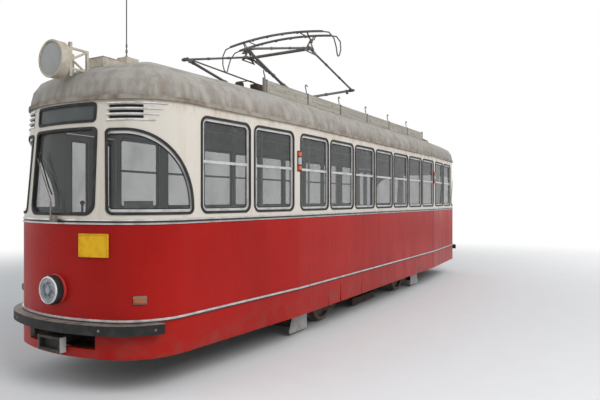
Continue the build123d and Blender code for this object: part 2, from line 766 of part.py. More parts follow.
# Headlight: collar, dark ring and bright rim
LAMP_Z = 984
COLLAR_R = 118
RIM_R = 140
LENS_R = 118
with BuildPart() as headlight:
    with BuildSketch(Plane.YZ.offset(NOSE_X - 40)):
        with Locations((0, LAMP_Z)):
            Circle(COLLAR_R)
    extrude(amount=88)
    add(body_core(0, 800, 1200), mode=Mode.SUBTRACT)
    with BuildSketch(Plane.YZ.offset(NOSE_X + 44)):
        with Locations((0, LAMP_Z)):
            Circle(RIM_R - 8)
    extrude(amount=10)
    with BuildSketch(Plane.YZ.offset(NOSE_X + 54)):
        with Locations((0, LAMP_Z)):
            Circle(RIM_R)
            Circle(LENS_R + 0.3, mode=Mode.SUBTRACT)
    extrude(amount=22)

with BuildPart() as headlight_lens:
    with BuildSketch(Plane.YZ.offset(NOSE_X + 54)):
        with Locations((0, LAMP_Z)):
            Circle(LENS_R)
    extrude(amount=14)

# Turn signals on the pillars, marker lamps on the corners
SIGNAL_X = 2963
with BuildPart() as signal_lamps:
    for sx in (1, -1):
        for sy in (1, -1):
            with Locations((sx * SIGNAL_X, sy * (HALF_W + 16), 2348)):
                Box(60, 36, 250)
            add(wedge(40, 52, 884, 946, sx, sy))
    add(body_core(0, 800, 2700), mode=Mode.SUBTRACT)
    add(body_core(30, 800, 2700), mode=Mode.INTERSECT)

# Bright strips of the corner vents
with BuildPart() as vent_strips:
    for strip in VENT_STRIPS:
        for sy in (1, -1):
            add(wedge(VENT_A[0] - 1, strip["a1"], strip["z"], strip["z"] + VENT_STRIP_H, 1, sy))
    add(body_band(10, 0, 2560, EAVES_Z - 8), mode=Mode.INTERSECT)

# Blank plate on the front panel, square to the nose arc there
PLATE_TURN = 14.6
PLATE_X = NOSE_X - NOSE_R + (NOSE_R + 4) * cos(radians(PLATE_TURN))
PLATE_Y = (NOSE_R + 4) * sin(radians(PLATE_TURN))
with BuildPart() as number_plate:
    with Locations(Location((PLATE_X, PLATE_Y, 1424), (0, 0, PLATE_TURN))):
        Box(14, 310, 215)
    add(body_core(0, 1200, 1600), mode=Mode.SUBTRACT)

# Disc sign in its frame over the front edge of the roof
SIGN_DISC_Z = 3213
with BuildPart() as roof_disc_sign:
    with BuildSketch(Plane.YZ.offset(5581)):
        with Locations((0, SIGN_DISC_Z)):
            Circle(183)
    extrude(amount=92)
    for sy in (1, -1):
        with Locations((5545, sy * 110, SIGN_DISC_Z + 10)):
            Box(28, 28, 330)
        with Locations((5572, sy * 110, SIGN_DISC_Z)):
            Box(30, 40, 120)
        with Locations((5350, sy * 110, SIGN_DISC_Z + 10)):
            Box(24, 24, 240)
        with Locations((5450, sy * 110, SIGN_DISC_Z + 120)):
            Box(190, 20, 20)
        with Locations((5460, sy * 110, SIGN_DISC_Z - 80)):
            Box(200, 20, 20)
    add(roof_solid(0), mode=Mode.SUBTRACT)

with BuildPart() as roof_antenna:
    with Locations((4717, 0, 3346)):
        Box(176, 150, 150)
    with Locations((4981, 0, 3290)):
        Box(340, 220, 100)
    with Locations((4737, 0, 3400)):
        Cylinder(6, 820, align=(Align.CENTER, Align.CENTER, Align.MIN))
    add(roof_solid(0), mode=Mode.SUBTRACT)

# Long boards on brackets along both sides of the roof
BOARD_Y = 630
BOARD_X = [2900 - 1130 * i for i in range(7)]
with BuildPart() as roof_boards:
    for sy in (1, -1):
        with Locations((-445, sy * BOARD_Y, 3375)):
            Box(6790, 24, 170)
        for x in BOARD_X:
            with Locations((x, sy * (BOARD_Y - 22), 3310)):
                Box(30, 20, 240)
    add(roof_solid(0), mode=Mode.SUBTRACT)

# Pantograph base on four insulators
INSULATOR_Y = 420
INSULATOR_X = 330
BASE_FRAME_Z = 3400
BASE_FRAME_T = 25
BASE_R = 22
with BuildPart() as pantograph_insulators:
    for sx in (1, -1):
        for sy in (1, -1):
            with Locations((PANTO_X + sx * INSULATOR_X, sy * INSULATOR_Y, 3250)):
                Cylinder(32, BASE_FRAME_Z - 3250, align=(Align.CENTER, Align.CENTER, Align.MIN))
            for z in (3345, 3372):
                with Locations((PANTO_X + sx * INSULATOR_X, sy * INSULATOR_Y, z)):
                    Cylinder(52, 12, align=(Align.CENTER, Align.CENTER, Align.MIN))
    add(roof_solid(0), mode=Mode.SUBTRACT)

with BuildPart() as pantograph_base:
    for sy in (1, -1):
        with Locations((PANTO_X, sy * INSULATOR_Y, BASE_FRAME_Z + BASE_FRAME_T / 2)):
            Box(2 * INSULATOR_X + 100, 60, BASE_FRAME_T)
        for sx in (1, -1):
            with Locations((PANTO_X + sx * PANTO_OFFSET, sy * INSULATOR_Y, PANTO_BASE_Z)):
                Box(80, 24, 70)
            with Locations((PANTO_X + sx * PANTO_OFFSET, sy * INSULATOR_Y, PANTO_BASE_Z)):
                with Locations(Rotation(90, 0, 0)):
                    Cylinder(BASE_R + RUN_GAP, 30, mode=Mode.SUBTRACT)
    for sx in (1, -1):
        with Locations((PANTO_X + sx * INSULATOR_X, 0, BASE_FRAME_Z + BASE_FRAME_T / 2)):
            Box(60, 2 * INSULATOR_Y, BASE_FRAME_T)


def tube(a, b, r):
    """Round bar between two points."""
    with BuildPart() as bar:
        with BuildSketch(Plane(origin=a, z_dir=(Vector(*b) - Vector(*a)).normalized())):
            Circle(r)
        extrude(amount=(Vector(*b) - Vector(*a)).length)
    return bar.part


PANTO_KNEE_Z = (PANTO_BASE_Z + PANTO_APEX_Z) / 2
KNEE_PIN_R = 14


LOWER_BASE_Y = 350
LOWER_KNEE_Y = 516
LOWER_R = 20
KNUCKLE_OUT_R = 26


def lower_arm():
    """Rear lower frame: base shaft, two arms with knee pins and one diagonal."""
    base = PANTO_X - PANTO_OFFSET
    knee = PANTO_X - PANTO_KNEE_X
    with BuildPart() as arm:
        add(tube((base, -470, PANTO_BASE_Z), (base, 470, PANTO_BASE_Z), BASE_R))
        for sy in (1, -1):
            near, far = sy * (LOWER_KNEE_Y - 18), sy * (LOWER_KNEE_Y + 18)
            pin = sy * (PANTO_ARM_Y + 40)
            add(tube((base, sy * LOWER_BASE_Y, PANTO_BASE_Z), (knee, sy * LOWER_KNEE_Y, PANTO_KNEE_Z), LOWER_R))
            add(tube((knee, near, PANTO_KNEE_Z), (knee, far, PANTO_KNEE_Z), KNUCKLE_OUT_R))
            add(tube((knee, far, PANTO_KNEE_Z), (knee, pin, PANTO_KNEE_Z), KNEE_PIN_R))
        add(tube((base, LOWER_BASE_Y - 30, PANTO_BASE_Z + 3), (knee, 25 - LOWER_KNEE_Y, PANTO_KNEE_Z + 3), 11))
    return arm.part


def upper_arm():
    """Rear upper frame: two arms with knuckles on the knee pins and pins at the apex."""
    knee = PANTO_X - PANTO_KNEE_X
    apex = PANTO_X - PANTO_OFFSET
    with BuildPart() as arm:
        for sy in (1, -1):
            y = sy * PANTO_ARM_Y
            add(tube((knee, y, PANTO_KNEE_Z), (apex, y, PANTO_APEX_Z), 16))
            add(tube((knee, y - 20, PANTO_KNEE_Z), (knee, y + 20, PANTO_KNEE_Z), KNUCKLE_OUT_R))
            add(tube((apex, y - sy * 14, PANTO_APEX_Z), (apex, y + sy * 48, PANTO_APEX_Z), KNEE_PIN_R))
        add(
            tube((knee, -700, PANTO_KNEE_Z), (knee, 700, PANTO_KNEE_Z), KNEE_PIN_R + RUN_GAP),
            mode=Mode.SUBTRACT,
        )
    return arm.part


PANTO_MIDDLE = Plane.YZ.offset(PANTO_X)
with BuildPart() as pantograph_lower_front:
    add(lower_arm().mirror(PANTO_MIDDLE))

with BuildPart() as pantograph_lower_rear:
    add(lower_arm())

with BuildPart() as pantograph_upper_front:
    add(upper_arm().mirror(PANTO_MIDDLE))

with BuildPart() as pantograph_upper_rear:
    add(upper_arm())

# Collector head: side frames on the apex pins, a cross tube, two arched strips and a loop at each end
FRAME_Y = PANTO_ARM_Y + 28
FRAME_T = 8
STRIP_X = 130
STRIP_END_Y = 870
STRIP_SAG = 70
STRIP_H = 26
STRIP_W = 36
LOOP_R = 10
LOOP = [
    dict(x=STRIP_X, y=860, drop=84), dict(x=126, y=970, drop=112), dict(x=108, y=1045, drop=210),
    dict(x=76, y=1068, drop=340), dict(x=40, y=1064, drop=430), dict(x=0, y=1060, drop=456),
]
with BuildPart() as pantograph_head:
    for sy in (1, -1):
        with BuildSketch(Plane.XZ.offset(-sy * FRAME_Y + FRAME_T / 2)):
            with Locations((PANTO_X, PANTO_APEX_Z)):
                Polygon((-190, -70), (190, -70), (96, 30), (0, 140), (-96, 30), align=None)
                Polygon((-120, -50), (120, -50), (70, -22), (-70, -22), align=None, mode=Mode.SUBTRACT)
                Polygon((-52, 34), (52, 34), (0, 100), align=None, mode=Mode.SUBTRACT)
            for sx in (1, -1):
                with Locations((PANTO_X + sx * PANTO_OFFSET, PANTO_APEX_Z)):
                    Circle(KNEE_PIN_R + RUN_GAP, mode=Mode.SUBTRACT)
        extrude(amount=FRAME_T)
    add(tube((PANTO_X, -FRAME_Y, PANTO_APEX_Z), (PANTO_X, FRAME_Y, PANTO_APEX_Z), 24))
    for sx in (1, -1):
        with BuildSketch(Plane.YZ.offset(PANTO_X + sx * STRIP_X - STRIP_W / 2)):
            with BuildLine():
                ends = [(STRIP_END_Y, HEAD_TOP_Z - STRIP_SAG), (STRIP_END_Y, HEAD_TOP_Z - STRIP_SAG - STRIP_H)]
                ThreePointArc((-ends[0][0], ends[0][1]), (0, HEAD_TOP_Z), ends[0])
                Line(ends[0], ends[1])
                ThreePointArc(ends[1], (0, HEAD_TOP_Z - STRIP_H), (-ends[1][0], ends[1][1]))
                Line((-ends[1][0], ends[1][1]), (-ends[0][0], ends[0][1]))
            make_face()
        extrude(amount=STRIP_W)
        for sy in (1, -1):
            foot = (PANTO_X, sy * FRAME_Y, PANTO_APEX_Z + 120)
            add(tube(foot, (PANTO_X + sx * STRIP_X, sy * FRAME_Y, HEAD_TOP_Z - 45), 9))
            points = [(PANTO_X + sx * p["x"], sy * p["y"], HEAD_TOP_Z - p["drop"]) for p in LOOP]
            for start, end in zip(points, points[1:]):
                add(tube(start, end, LOOP_R))

# Seats along the cabin: frames, cushions and backs
SEAT_X = [-2600 + 780 * i for i in range(8)]
SEAT_Y = HALF_W - 385
SEAT_W = 560
SEAT_Z = FLOOR_Z + 390
with BuildPart() as seat_frames:
    for x in SEAT_X:
        for sy in (1, -1):
            with Locations((x, sy * SEAT_Y, (FLOOR_Z + SEAT_Z) / 2)):
                Box(60, 300, SEAT_Z - FLOOR_Z)

with BuildPart() as seat_cushions:
    for x in SEAT_X:
        for sy in (1, -1):
            with Locations((x, sy * SEAT_Y, SEAT_Z + 30)):
                Box(400, SEAT_W, 60)

with BuildPart() as seat_backs:
    for x in SEAT_X:
        for sy in (1, -1):
            with Locations((x - 220, sy * SEAT_Y, SEAT_Z + 270)):
                Box(40, SEAT_W, 540)

# Driver's desk and chair
CHAIR_X = 4800
with BuildPart() as driver_desk:
    with Locations((5330, 0, FLOOR_Z + 400)):
        Box(260, 860, 800)
    with Locations((CHAIR_X, 60, FLOOR_Z + 250)):
        Cylinder(35, 500)
    with Locations((CHAIR_X, 60, FLOOR_Z + 530)):
        Box(400, 420, 60)
    with Locations((CHAIR_X - 180, 60, FLOOR_Z + 790)):
        Box(40, 420, 460)

POLE_Y = 450
with BuildPart() as grab_poles:
    for x in (-3000, -1400, 1400, 3000):
        for sy in (1, -1):
            with Locations((x, sy * POLE_Y, FLOOR_Z)):
                Cylinder(17, 3230 - FLOOR_Z, align=(Align.CENTER, Align.CENTER, Align.MIN))

# Folding doors: leaf a hangs on the jamb, leaf b on leaf a
LEAF_Z0 = DOOR_Z0 + 9
LEAF_Z1 = DOOR_Z1 - 9
LEAF_IN = LEAF_RECESS + LEAF_T
LEAF_A = (JAMB_GAP, MIDDLE_S - LEAF_GAP / 2)
LEAF_B = (MIDDLE_S + LEAF_GAP / 2, DOOR_W - CLOSE_GAP)
PANES = [dict(z0=520, z1=1520), dict(z0=1680, z1=2580)]
PANE_EDGE = 62
HINGE_Z = [700, 1600, 2450]
HINGE_H = 45


def leaf_slab(s0, s1, y0, y1, z0, z1):
    """Upright block given in the plane of the door."""
    with BuildPart() as slab:
        with BuildSketch(DOOR_PLANE.offset(z0)):
            with Locations(((s0 + s1) / 2, (y0 + y1) / 2)):
                Rectangle(s1 - s0, y1 - y0)
        extrude(amount=z1 - z0)
    return slab.part


def leaf_round(s, y, r, z0, z1):
    """Upright cylinder given in the plane of the door."""
    with BuildPart() as rod:
        with BuildSketch(DOOR_PLANE.offset(z0)):
            with Locations((s, y)):
                Circle(r)
        extrude(amount=z1 - z0)
    return rod.part


def leaf(span, first):
    """One door leaf with its pane openings, pivots and knuckles."""
    with BuildPart() as door:
        add(leaf_slab(span[0], span[1], LEAF_RECESS, LEAF_IN, LEAF_Z0, LEAF_Z1))
        for pane in PANES:
            add(
                leaf_slab(span[0] + PANE_EDGE, span[1] - PANE_EDGE, -50, 150, pane["z0"], pane["z1"]),
                mode=Mode.SUBTRACT,
            )
        if first:
            add(leaf_round(PIVOT_S, PIVOT_Y, PIN_R, DOOR_Z0 - PIN_DEPTH + 1, LEAF_Z0 + 1))
            add(leaf_round(PIVOT_S, PIVOT_Y, PIN_R, LEAF_Z1 - 1, DOOR_Z1 + PIN_DEPTH - 1))
        for z in HINGE_Z:
            if first:
                add(leaf_round(MIDDLE_S, MIDDLE_Y, KNUCKLE_R, z - HINGE_H, z))
                add(leaf_slab(MIDDLE_S - 34, MIDDLE_S - 2, LEAF_IN, LEAF_IN + 8, z - HINGE_H, z))
                add(leaf_round(MIDDLE_S, MIDDLE_Y, 5 + RUN_GAP, z - HINGE_H - 1, z + 1), mode=Mode.SUBTRACT)
            else:
                add(leaf_round(MIDDLE_S, MIDDLE_Y, KNUCKLE_R, z + 0.3, z + HINGE_H))
                add(leaf_slab(MIDDLE_S + 2, MIDDLE_S + 34, LEAF_IN, LEAF_IN + 8, z + 0.3, z + HINGE_H))
                add(leaf_round(MIDDLE_S, MIDDLE_Y, 5, z - HINGE_H, z + 1))
    return door.part


def leaf_glass(span):
    """Panes of one leaf."""
    with BuildPart() as glass:
        for pane in PANES:
            s0, s1 = span[0] + PANE_EDGE, span[1] - PANE_EDGE
            add(leaf_slab(s0, s1, PIVOT_Y - 3, PIVOT_Y + 3, pane["z0"], pane["z1"]))
    return glass.part


with BuildPart() as front_door_leaf_a:
    add(leaf(LEAF_A, True))

with BuildPart() as front_door_leaf_b:
    add(leaf(LEAF_B, False))

with BuildPart() as rear_door_leaf_a:
    add(leaf(LEAF_A, True).mirror(Plane.YZ))

with BuildPart() as rear_door_leaf_b:
    add(leaf(LEAF_B, False).mirror(Plane.YZ))

with BuildPart() as front_door_glass_a:
    add(leaf_glass(LEAF_A))

with BuildPart() as front_door_glass_b:
    add(leaf_glass(LEAF_B))

with BuildPart() as rear_door_glass_a:
    add(leaf_glass(LEAF_A).mirror(Plane.YZ))

with BuildPart() as rear_door_glass_b:
    add(leaf_glass(LEAF_B).mirror(Plane.YZ))

NODES = dict(
    front_end_shell=front_end_shell,
    rear_end_shell=rear_end_shell,
    left_side_wall=left_side_wall,
    right_side_wall=right_side_wall,
    skirt_flaps=skirt_flaps,
    roof_shell=roof_shell,
    roof_gutter=roof_gutter,
    side_glazing=side_glazing,
    end_glazing=end_glazing,
    sign_panels=sign_panels,
    window_gaskets=window_gaskets,
    window_frames=window_frames,
    belt_trim=belt_trim,
    lower_moulding=lower_moulding,
    bumpers=bumpers,
    floor_deck=floor_deck,
    floor_right=floor_right,
    door_steps=door_steps,
    underframe=underframe,
    centre_sills=centre_sills,
    cross_members=cross_members,
    front_wheelset=front_wheelset,
    rear_wheelset=rear_wheelset,
    axle_guards=axle_guards,
    leaf_springs=leaf_springs,
    brake_gear=brake_gear,
    track_brakes=track_brakes,
    brake_hangers=brake_hangers,
    traction_motors=traction_motors,
    lifeguards=lifeguards,
    guard_boards=guard_boards,
    couplers=couplers,
    headlight=headlight,
    headlight_lens=headlight_lens,
    signal_lamps=signal_lamps,
    vent_strips=vent_strips,
    number_plate=number_plate,
    roof_disc_sign=roof_disc_sign,
    roof_antenna=roof_antenna,
    roof_boards=roof_boards,
    pantograph_insulators=pantograph_insulators,
    pantograph_base=pantograph_base,
    pantograph_lower_front=pantograph_lower_front,
    pantograph_lower_rear=pantograph_lower_rear,
    pantograph_upper_front=pantograph_upper_front,
    pantograph_upper_rear=pantograph_upper_rear,
    pantograph_head=pantograph_head,
    seat_frames=seat_frames,
    seat_cushions=seat_cushions,
    seat_backs=seat_backs,
    driver_desk=driver_desk,
    grab_poles=grab_poles,
    front_door_leaf_a=front_door_leaf_a,
    front_door_leaf_b=front_door_leaf_b,
    rear_door_leaf_a=rear_door_leaf_a,
    rear_door_leaf_b=rear_door_leaf_b,
    front_door_glass_a=front_door_glass_a,
    front_door_glass_b=front_door_glass_b,
    rear_door_glass_a=rear_door_glass_a,
    rear_door_glass_b=rear_door_glass_b,
)

for node_name, node in NODES.items():
    node.part.label = node_name
    export_step(node.part, f"parts/{node_name}.step")
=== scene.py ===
import math

import bmesh
import bpy
from bpy.props import FloatProperty, FloatVectorProperty, PointerProperty
from mathutils import Matrix, Vector


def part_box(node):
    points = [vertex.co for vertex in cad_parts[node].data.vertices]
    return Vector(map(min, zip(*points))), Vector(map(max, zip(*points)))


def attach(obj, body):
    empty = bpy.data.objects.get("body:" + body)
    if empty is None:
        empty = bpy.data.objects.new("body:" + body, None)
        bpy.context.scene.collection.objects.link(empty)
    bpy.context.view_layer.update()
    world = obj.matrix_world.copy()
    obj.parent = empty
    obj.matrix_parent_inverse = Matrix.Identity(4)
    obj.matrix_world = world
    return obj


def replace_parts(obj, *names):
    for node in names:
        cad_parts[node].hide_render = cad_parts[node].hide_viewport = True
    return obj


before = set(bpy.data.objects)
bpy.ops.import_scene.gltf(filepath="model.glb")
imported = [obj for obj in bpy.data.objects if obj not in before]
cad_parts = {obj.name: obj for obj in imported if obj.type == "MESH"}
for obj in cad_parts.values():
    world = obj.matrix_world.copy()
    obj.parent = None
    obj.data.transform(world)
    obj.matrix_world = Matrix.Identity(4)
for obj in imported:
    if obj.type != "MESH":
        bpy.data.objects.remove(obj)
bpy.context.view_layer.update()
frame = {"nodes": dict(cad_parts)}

bl_info = {
    "name": "City tram detailing",
    "version": (1, 0, 0),
    "blender": (4, 5, 0),
    "location": "3D View > Sidebar > Tram",
    "description": "Finishes and fittings of a two-axle city tram around its CAD frame",
    "category": "Object",
}

NODES = frame["nodes"]

BOTH = (1, -1)
CORNERS = tuple((sx, sy) for sx in BOTH for sy in BOTH)
UP, AHEAD = (0, 0, 1), (1, 0, 0)

# Places shared with the CAD, in metres. The plan of each end is a flat nose arc between two corner arcs.
NOSE_X = 5.628
NOSE_CENTRE_X, NOSE_R = 3.728, 1.9
CORNER_X, CORNER_Y = 4.9331, 0.4315
HEADLIGHT_Z = 0.984
SIGN_X, SIGN_Z = 5.673, 3.213
BOARD_Y, BOARD_TOP = 0.63, 3.462
AXLE_X, AXLE_Z = 1.625, 0.358
PANTO_X, PANTO_BASE, PANTO_APEX = 1.584, 3.450, 4.200
PANTO_OFFSET, PANTO_KNEE, PANTO_ARM_Y = 0.060, 1.586, 0.560
KNEE_Z = (PANTO_BASE + PANTO_APEX) / 2
HEAD_TOP = 4.475


def math_node(operation):
    """A method that adds a Math node on a socket and the values after it."""
    def method(self, *values):
        return self.net.node("Math", {"operation": operation}, self, *values)
    return method


class Sock:
    """A shader socket that does arithmetic by adding Math nodes."""

    def __init__(self, net, link):
        self.net = net
        self.link = link

    def __rsub__(self, other):
        return self.net.node("Math", {"operation": "SUBTRACT"}, other, self)

    __add__ = __radd__ = math_node("ADD")
    __sub__ = math_node("SUBTRACT")
    __mul__ = __rmul__ = math_node("MULTIPLY")
    __pow__ = math_node("POWER")
    __gt__ = math_node("GREATER_THAN")
    __lt__ = math_node("LESS_THAN")
    __abs__ = math_node("ABSOLUTE")
    most = math_node("MAXIMUM")
    sine = math_node("SINE")


class Net:
    """The nodes of one material, or of a world that is handed in."""

    def __init__(self, name, owner=None, output="OutputMaterial"):
        self.owner = owner or bpy.data.materials.new(name)
        self.owner.use_nodes = True
        self.tree = self.owner.node_tree
        self.tree.nodes.clear()
        self.output = self.tree.nodes.new("ShaderNode" + output)
        self.place = self.node("TexCoord", output="Object")

    def node(self, kind, settings=None, *args, output=0, **inputs):
        """Add a shader node with its settings and inputs, and give back one of its outputs."""
        node = self.tree.nodes.new("ShaderNode" + kind)
        for key, value in (settings or {}).items():
            setattr(node, key, value)
        for i, value in enumerate(args):
            self.feed(node.inputs[i], value)
        for key, value in inputs.items():
            self.feed(node.inputs[key.replace("_", " ")], value)
        return Sock(self, node.outputs[output])

    def feed(self, socket, value):
        if isinstance(value, Sock):
            self.tree.links.new(value.link, socket)
        elif socket.type == "RGBA" and len(value) == 3:
            socket.default_value = (*value, 1)
        else:
            socket.default_value = value

    def axis(self, index):
        return self.node("SeparateXYZ", None, self.place, output=index)

    def vector(self, operation, *args, output=0):
        return self.node("VectorMath", {"operation": operation}, *args, output=output)

    def noise(self, scale, detail=4.0, rough=0.55, stretch=None):
        """Noise from 0 to 1, in cycles per metre, stretched along chosen axes."""
        vector = self.place
        if stretch:
            vector = self.node("Mapping", Vector=self.place, Scale=stretch)
        return self.node("TexNoise", Vector=vector, Scale=scale, Detail=detail, Roughness=rough)

    def ramp(self, value, low, high):
        """Smooth step of a value from low to high."""
        return self.node("MapRange", {"interpolation_type": "SMOOTHSTEP"}, value, low, high, 0.0, 1.0)

    def mix(self, factor, a, b):
        """Blend of two colours."""
        mixed = self.node("Mix", {"data_type": "RGBA"}, output=2)
        for index, value in ((0, factor), (6, a), (7, b)):
            self.feed(mixed.link.node.inputs[index], value)
        return mixed

    def end(self, shader):
        """Lead a shader to the output."""
        self.tree.links.new(shader.link, self.output.inputs["Surface"])
        return self.owner

    def shader(self, colour, rough, bump=None, depth=0.0, specular=0.5, **inputs):
        """Principled shader, with a bump of some depth in metres."""
        if bump:
            inputs["Normal"] = self.node("Bump", Strength=1.0, Distance=depth, Height=bump)
        inputs["Specular IOR Level"] = specular
        return self.node("BsdfPrincipled", Base_Color=colour, Roughness=rough, **inputs)

    def surface(self, *args, **inputs):
        return self.end(self.shader(*args, **inputs))


WELD = 1e-5
CREASE = math.radians(35)


def welded(node):
    """A bmesh copy of a CAD node with its doubled vertices merged."""
    bm = bmesh.new()
    bm.from_mesh(NODES[node].data)
    bmesh.ops.remove_doubles(bm, verts=bm.verts[:], dist=WELD)
    return bm


def set_in_scene(name, data):
    thing = bpy.data.objects.new(name, data)
    bpy.context.scene.collection.objects.link(thing)
    return thing


def aimed(place, direction):
    """Matrix that sets a form down at a place with its Z along a direction."""
    return Matrix.Translation(place) @ direction.to_track_quat("Z", "Y").to_matrix().to_4x4()


class Shape:
    """One piece in the making, built from bmesh operators in metres."""

    def __init__(self):
        self.bm = bmesh.new()

    def join(self, other):
        """Take over another bmesh."""
        mesh = bpy.data.meshes.new("part")
        other.to_mesh(mesh)
        other.free()
        self.bm.from_mesh(mesh)
        bpy.data.meshes.remove(mesh)
        return self

    def block(self, centre, size, bevel=0.0, segments=2, turn=0.0):
        """Box with rounded edges."""
        bm = bmesh.new()
        bmesh.ops.create_cube(bm, size=1.0, matrix=Matrix.Diagonal((*size, 1)))
        if bevel:
            bmesh.ops.bevel(
                bm, geom=bm.edges[:], offset=bevel, segments=segments, profile=0.5, affect="EDGES", material=-1
            )
        bm.transform(Matrix.Translation(centre) @ Matrix.Rotation(turn, 4, "Z"))
        return self.join(bm)

    def rod(self, start, end, radius, sides=12):
        """Straight bar between two points."""
        start, end = Vector(start), Vector(end)
        run = end - start
        matrix = aimed((start + end) / 2, run)
        bm = bmesh.new()
        bmesh.ops.create_cone(
            bm, cap_ends=True, segments=sides, radius1=radius, radius2=radius, depth=run.length, matrix=matrix
        )
        return self.join(bm)

    def ball(self, centre, radius, flat=1.0):
        bm = bmesh.new()
        bmesh.ops.create_uvsphere(bm, u_segments=14, v_segments=8, radius=radius)
        bm.transform(Matrix.Translation(centre) @ Matrix.Diagonal((1, 1, flat, 1)))
        return self.join(bm)

    def turned(self, profile, centre, toward, steps):
        """Spin a profile of (radius, height) points round an axis."""
        bm = bmesh.new()
        verts = [bm.verts.new((r, 0, h)) for r, h in profile]
        edges = [bm.edges.new(pair) for pair in zip(verts, verts[1:])]
        bmesh.ops.spin(
            bm, geom=verts + edges, cent=(0, 0, 0), axis=UP, dvec=(0, 0, 0), angle=math.tau, steps=steps,
            use_merge=True,
        )
        bmesh.ops.remove_doubles(bm, verts=bm.verts[:], dist=WELD)
        bm.transform(aimed(centre, Vector(toward)))
        return self.join(bm)

    def wire(self, points, radius, sides):
        """Round bar that follows a smooth curve."""
        curve = bpy.data.curves.new("wire", "CURVE")
        curve.dimensions = "3D"
        curve.bevel_depth = radius
        curve.bevel_resolution = sides
        curve.use_fill_caps = True
        curve.resolution_u = 6
        line = curve.splines.new("NURBS")
        line.points.add(len(points) - 1)
        for point, place in zip(line.points, points):
            point.co = (*place, 1)
        line.order_u = 3
        line.use_endpoint_u = True
        holder = bpy.data.objects.new("wire", curve)
        mesh = bpy.data.meshes.new_from_object(holder)
        self.bm.from_mesh(mesh)
        bpy.data.objects.remove(holder)
        bpy.data.curves.remove(curve)
        bpy.data.meshes.remove(mesh)

    def rim(self, node, width, thick, wanted):
        """Border strip round each pane of a glass node, on the faces that are wanted."""
        bm = welded(node)
        bm.normal_update()
        bmesh.ops.delete(bm, geom=[f for f in bm.faces if not wanted(f)], context="FACES")
        inset = bmesh.ops.inset_region(
            bm, faces=bm.faces[:], thickness=width, use_even_offset=True, use_boundary=True
        )
        ring = set(inset["faces"])
        bmesh.ops.delete(bm, geom=[f for f in bm.faces if f not in ring], context="FACES")
        bmesh.ops.solidify(bm, geom=bm.faces[:], thickness=-thick)
        return self.join(bm)

    def sliced(self, node, low, high, squash, at):
        """Copy of a CAD node between two heights, flattened and set down at a height."""
        bm = welded(node)
        for height, normal in ((low, (0, 0, -1)), (high, (0, 0, 1))):
            geom = bm.verts[:] + bm.edges[:] + bm.faces[:]
            cut = bmesh.ops.bisect_plane(bm, geom=geom, plane_co=(0, 0, height), plane_no=normal, clear_outer=True)
            edges = [g for g in cut["geom_cut"] if isinstance(g, bmesh.types.BMEdge)]
            bmesh.ops.holes_fill(bm, edges=edges)
        flatten = Matrix.Diagonal((1, 1, squash, 1)) @ Matrix.Translation((0, 0, -low))
        bm.transform(Matrix.Translation((0, 0, at)) @ flatten)
        return self.join(bm)

    def done(self, name, material, slot="under_steel", body="car_body", outward=True):
        """Make the piece an object that rides on a body, with a finish's name or a material."""
        if outward:
            bmesh.ops.recalc_face_normals(self.bm, faces=self.bm.faces[:])
        for face in self.bm.faces:
            face.smooth = True
        for edge in self.bm.edges:
            edge.smooth = edge.is_manifold and edge.calc_face_angle(0.0) < CREASE
        mesh = bpy.data.meshes.new(name)
        self.bm.to_mesh(mesh)
        self.bm.free()
        mesh.materials.append(finish(material) if isinstance(material, str) else material)
        piece = set_in_scene(name, mesh)
        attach(piece, body)
        return piece


class TramFinishes(bpy.types.PropertyGroup):
    red: FloatVectorProperty(
        name="Body red", description="Paint below the belt", subtype="COLOR", size=3,
        default=(0.36, 0.0085, 0.0055),
    )
    cream: FloatVectorProperty(
        name="Upper cream", description="Paint above the belt", subtype="COLOR", size=3, default=(0.6, 0.555, 0.49)
    )
    roof: FloatVectorProperty(
        name="Roof grey", description="Weathered roof paint", subtype="COLOR", size=3, default=(0.34, 0.32, 0.29)
    )
    belt: FloatProperty(
        name="Belt height", description="Height where red meets cream", unit="LENGTH", default=1.6205
    )


class TramWindows(bpy.types.PropertyGroup):
    frame: FloatProperty(
        name="Frame width", description="Bright frame of a corner window", unit="LENGTH", default=0.026
    )
    bead: FloatProperty(
        name="Bead width", description="Dark rubber inside the frames", unit="LENGTH", default=0.036
    )


class TramFront(bpy.types.PropertyGroup):
    lamp: FloatProperty(
        name="Headlight radius", description="Outside of the bright rim", unit="LENGTH", default=0.134
    )
    lip: FloatProperty(
        name="Lip height", description="Steel lip over the bumper's rubber", unit="LENGTH", default=0.007
    )


class TramRoof(bpy.types.PropertyGroup):
    disc: FloatProperty(name="Disc radius", description="Radius of the round sign", unit="LENGTH", default=0.183)
    hook: FloatProperty(name="Hook height", description="Hooks over the roof boards", unit="LENGTH", default=0.135)


class TramCabin(bpy.types.PropertyGroup):
    shell: FloatVectorProperty(
        name="Seat colour", description="Moulded seats", subtype="COLOR", size=3, default=(0.24, 0.05, 0.03)
    )
    rail: FloatProperty(
        name="Handrail radius", description="Rails under the ceiling", unit="LENGTH", default=0.016
    )


class TramStage(bpy.types.PropertyGroup):
    lens: FloatProperty(name="Lens", description="Focal length on a 36 mm sensor", default=33.06)
    turn: FloatProperty(
        name="Turn", description="Camera's turn from the car's length", subtype="ANGLE", unit="ROTATION",
        default=math.radians(30.16),
    )
    eye: FloatVectorProperty(
        name="Camera place", description="Where the camera stands", subtype="XYZ", unit="LENGTH", size=3,
        default=(9.06, 4.74, 1.85),
    )


def shade(colour, share):
    """A colour made darker or lighter."""
    return tuple(c * share for c in colour)


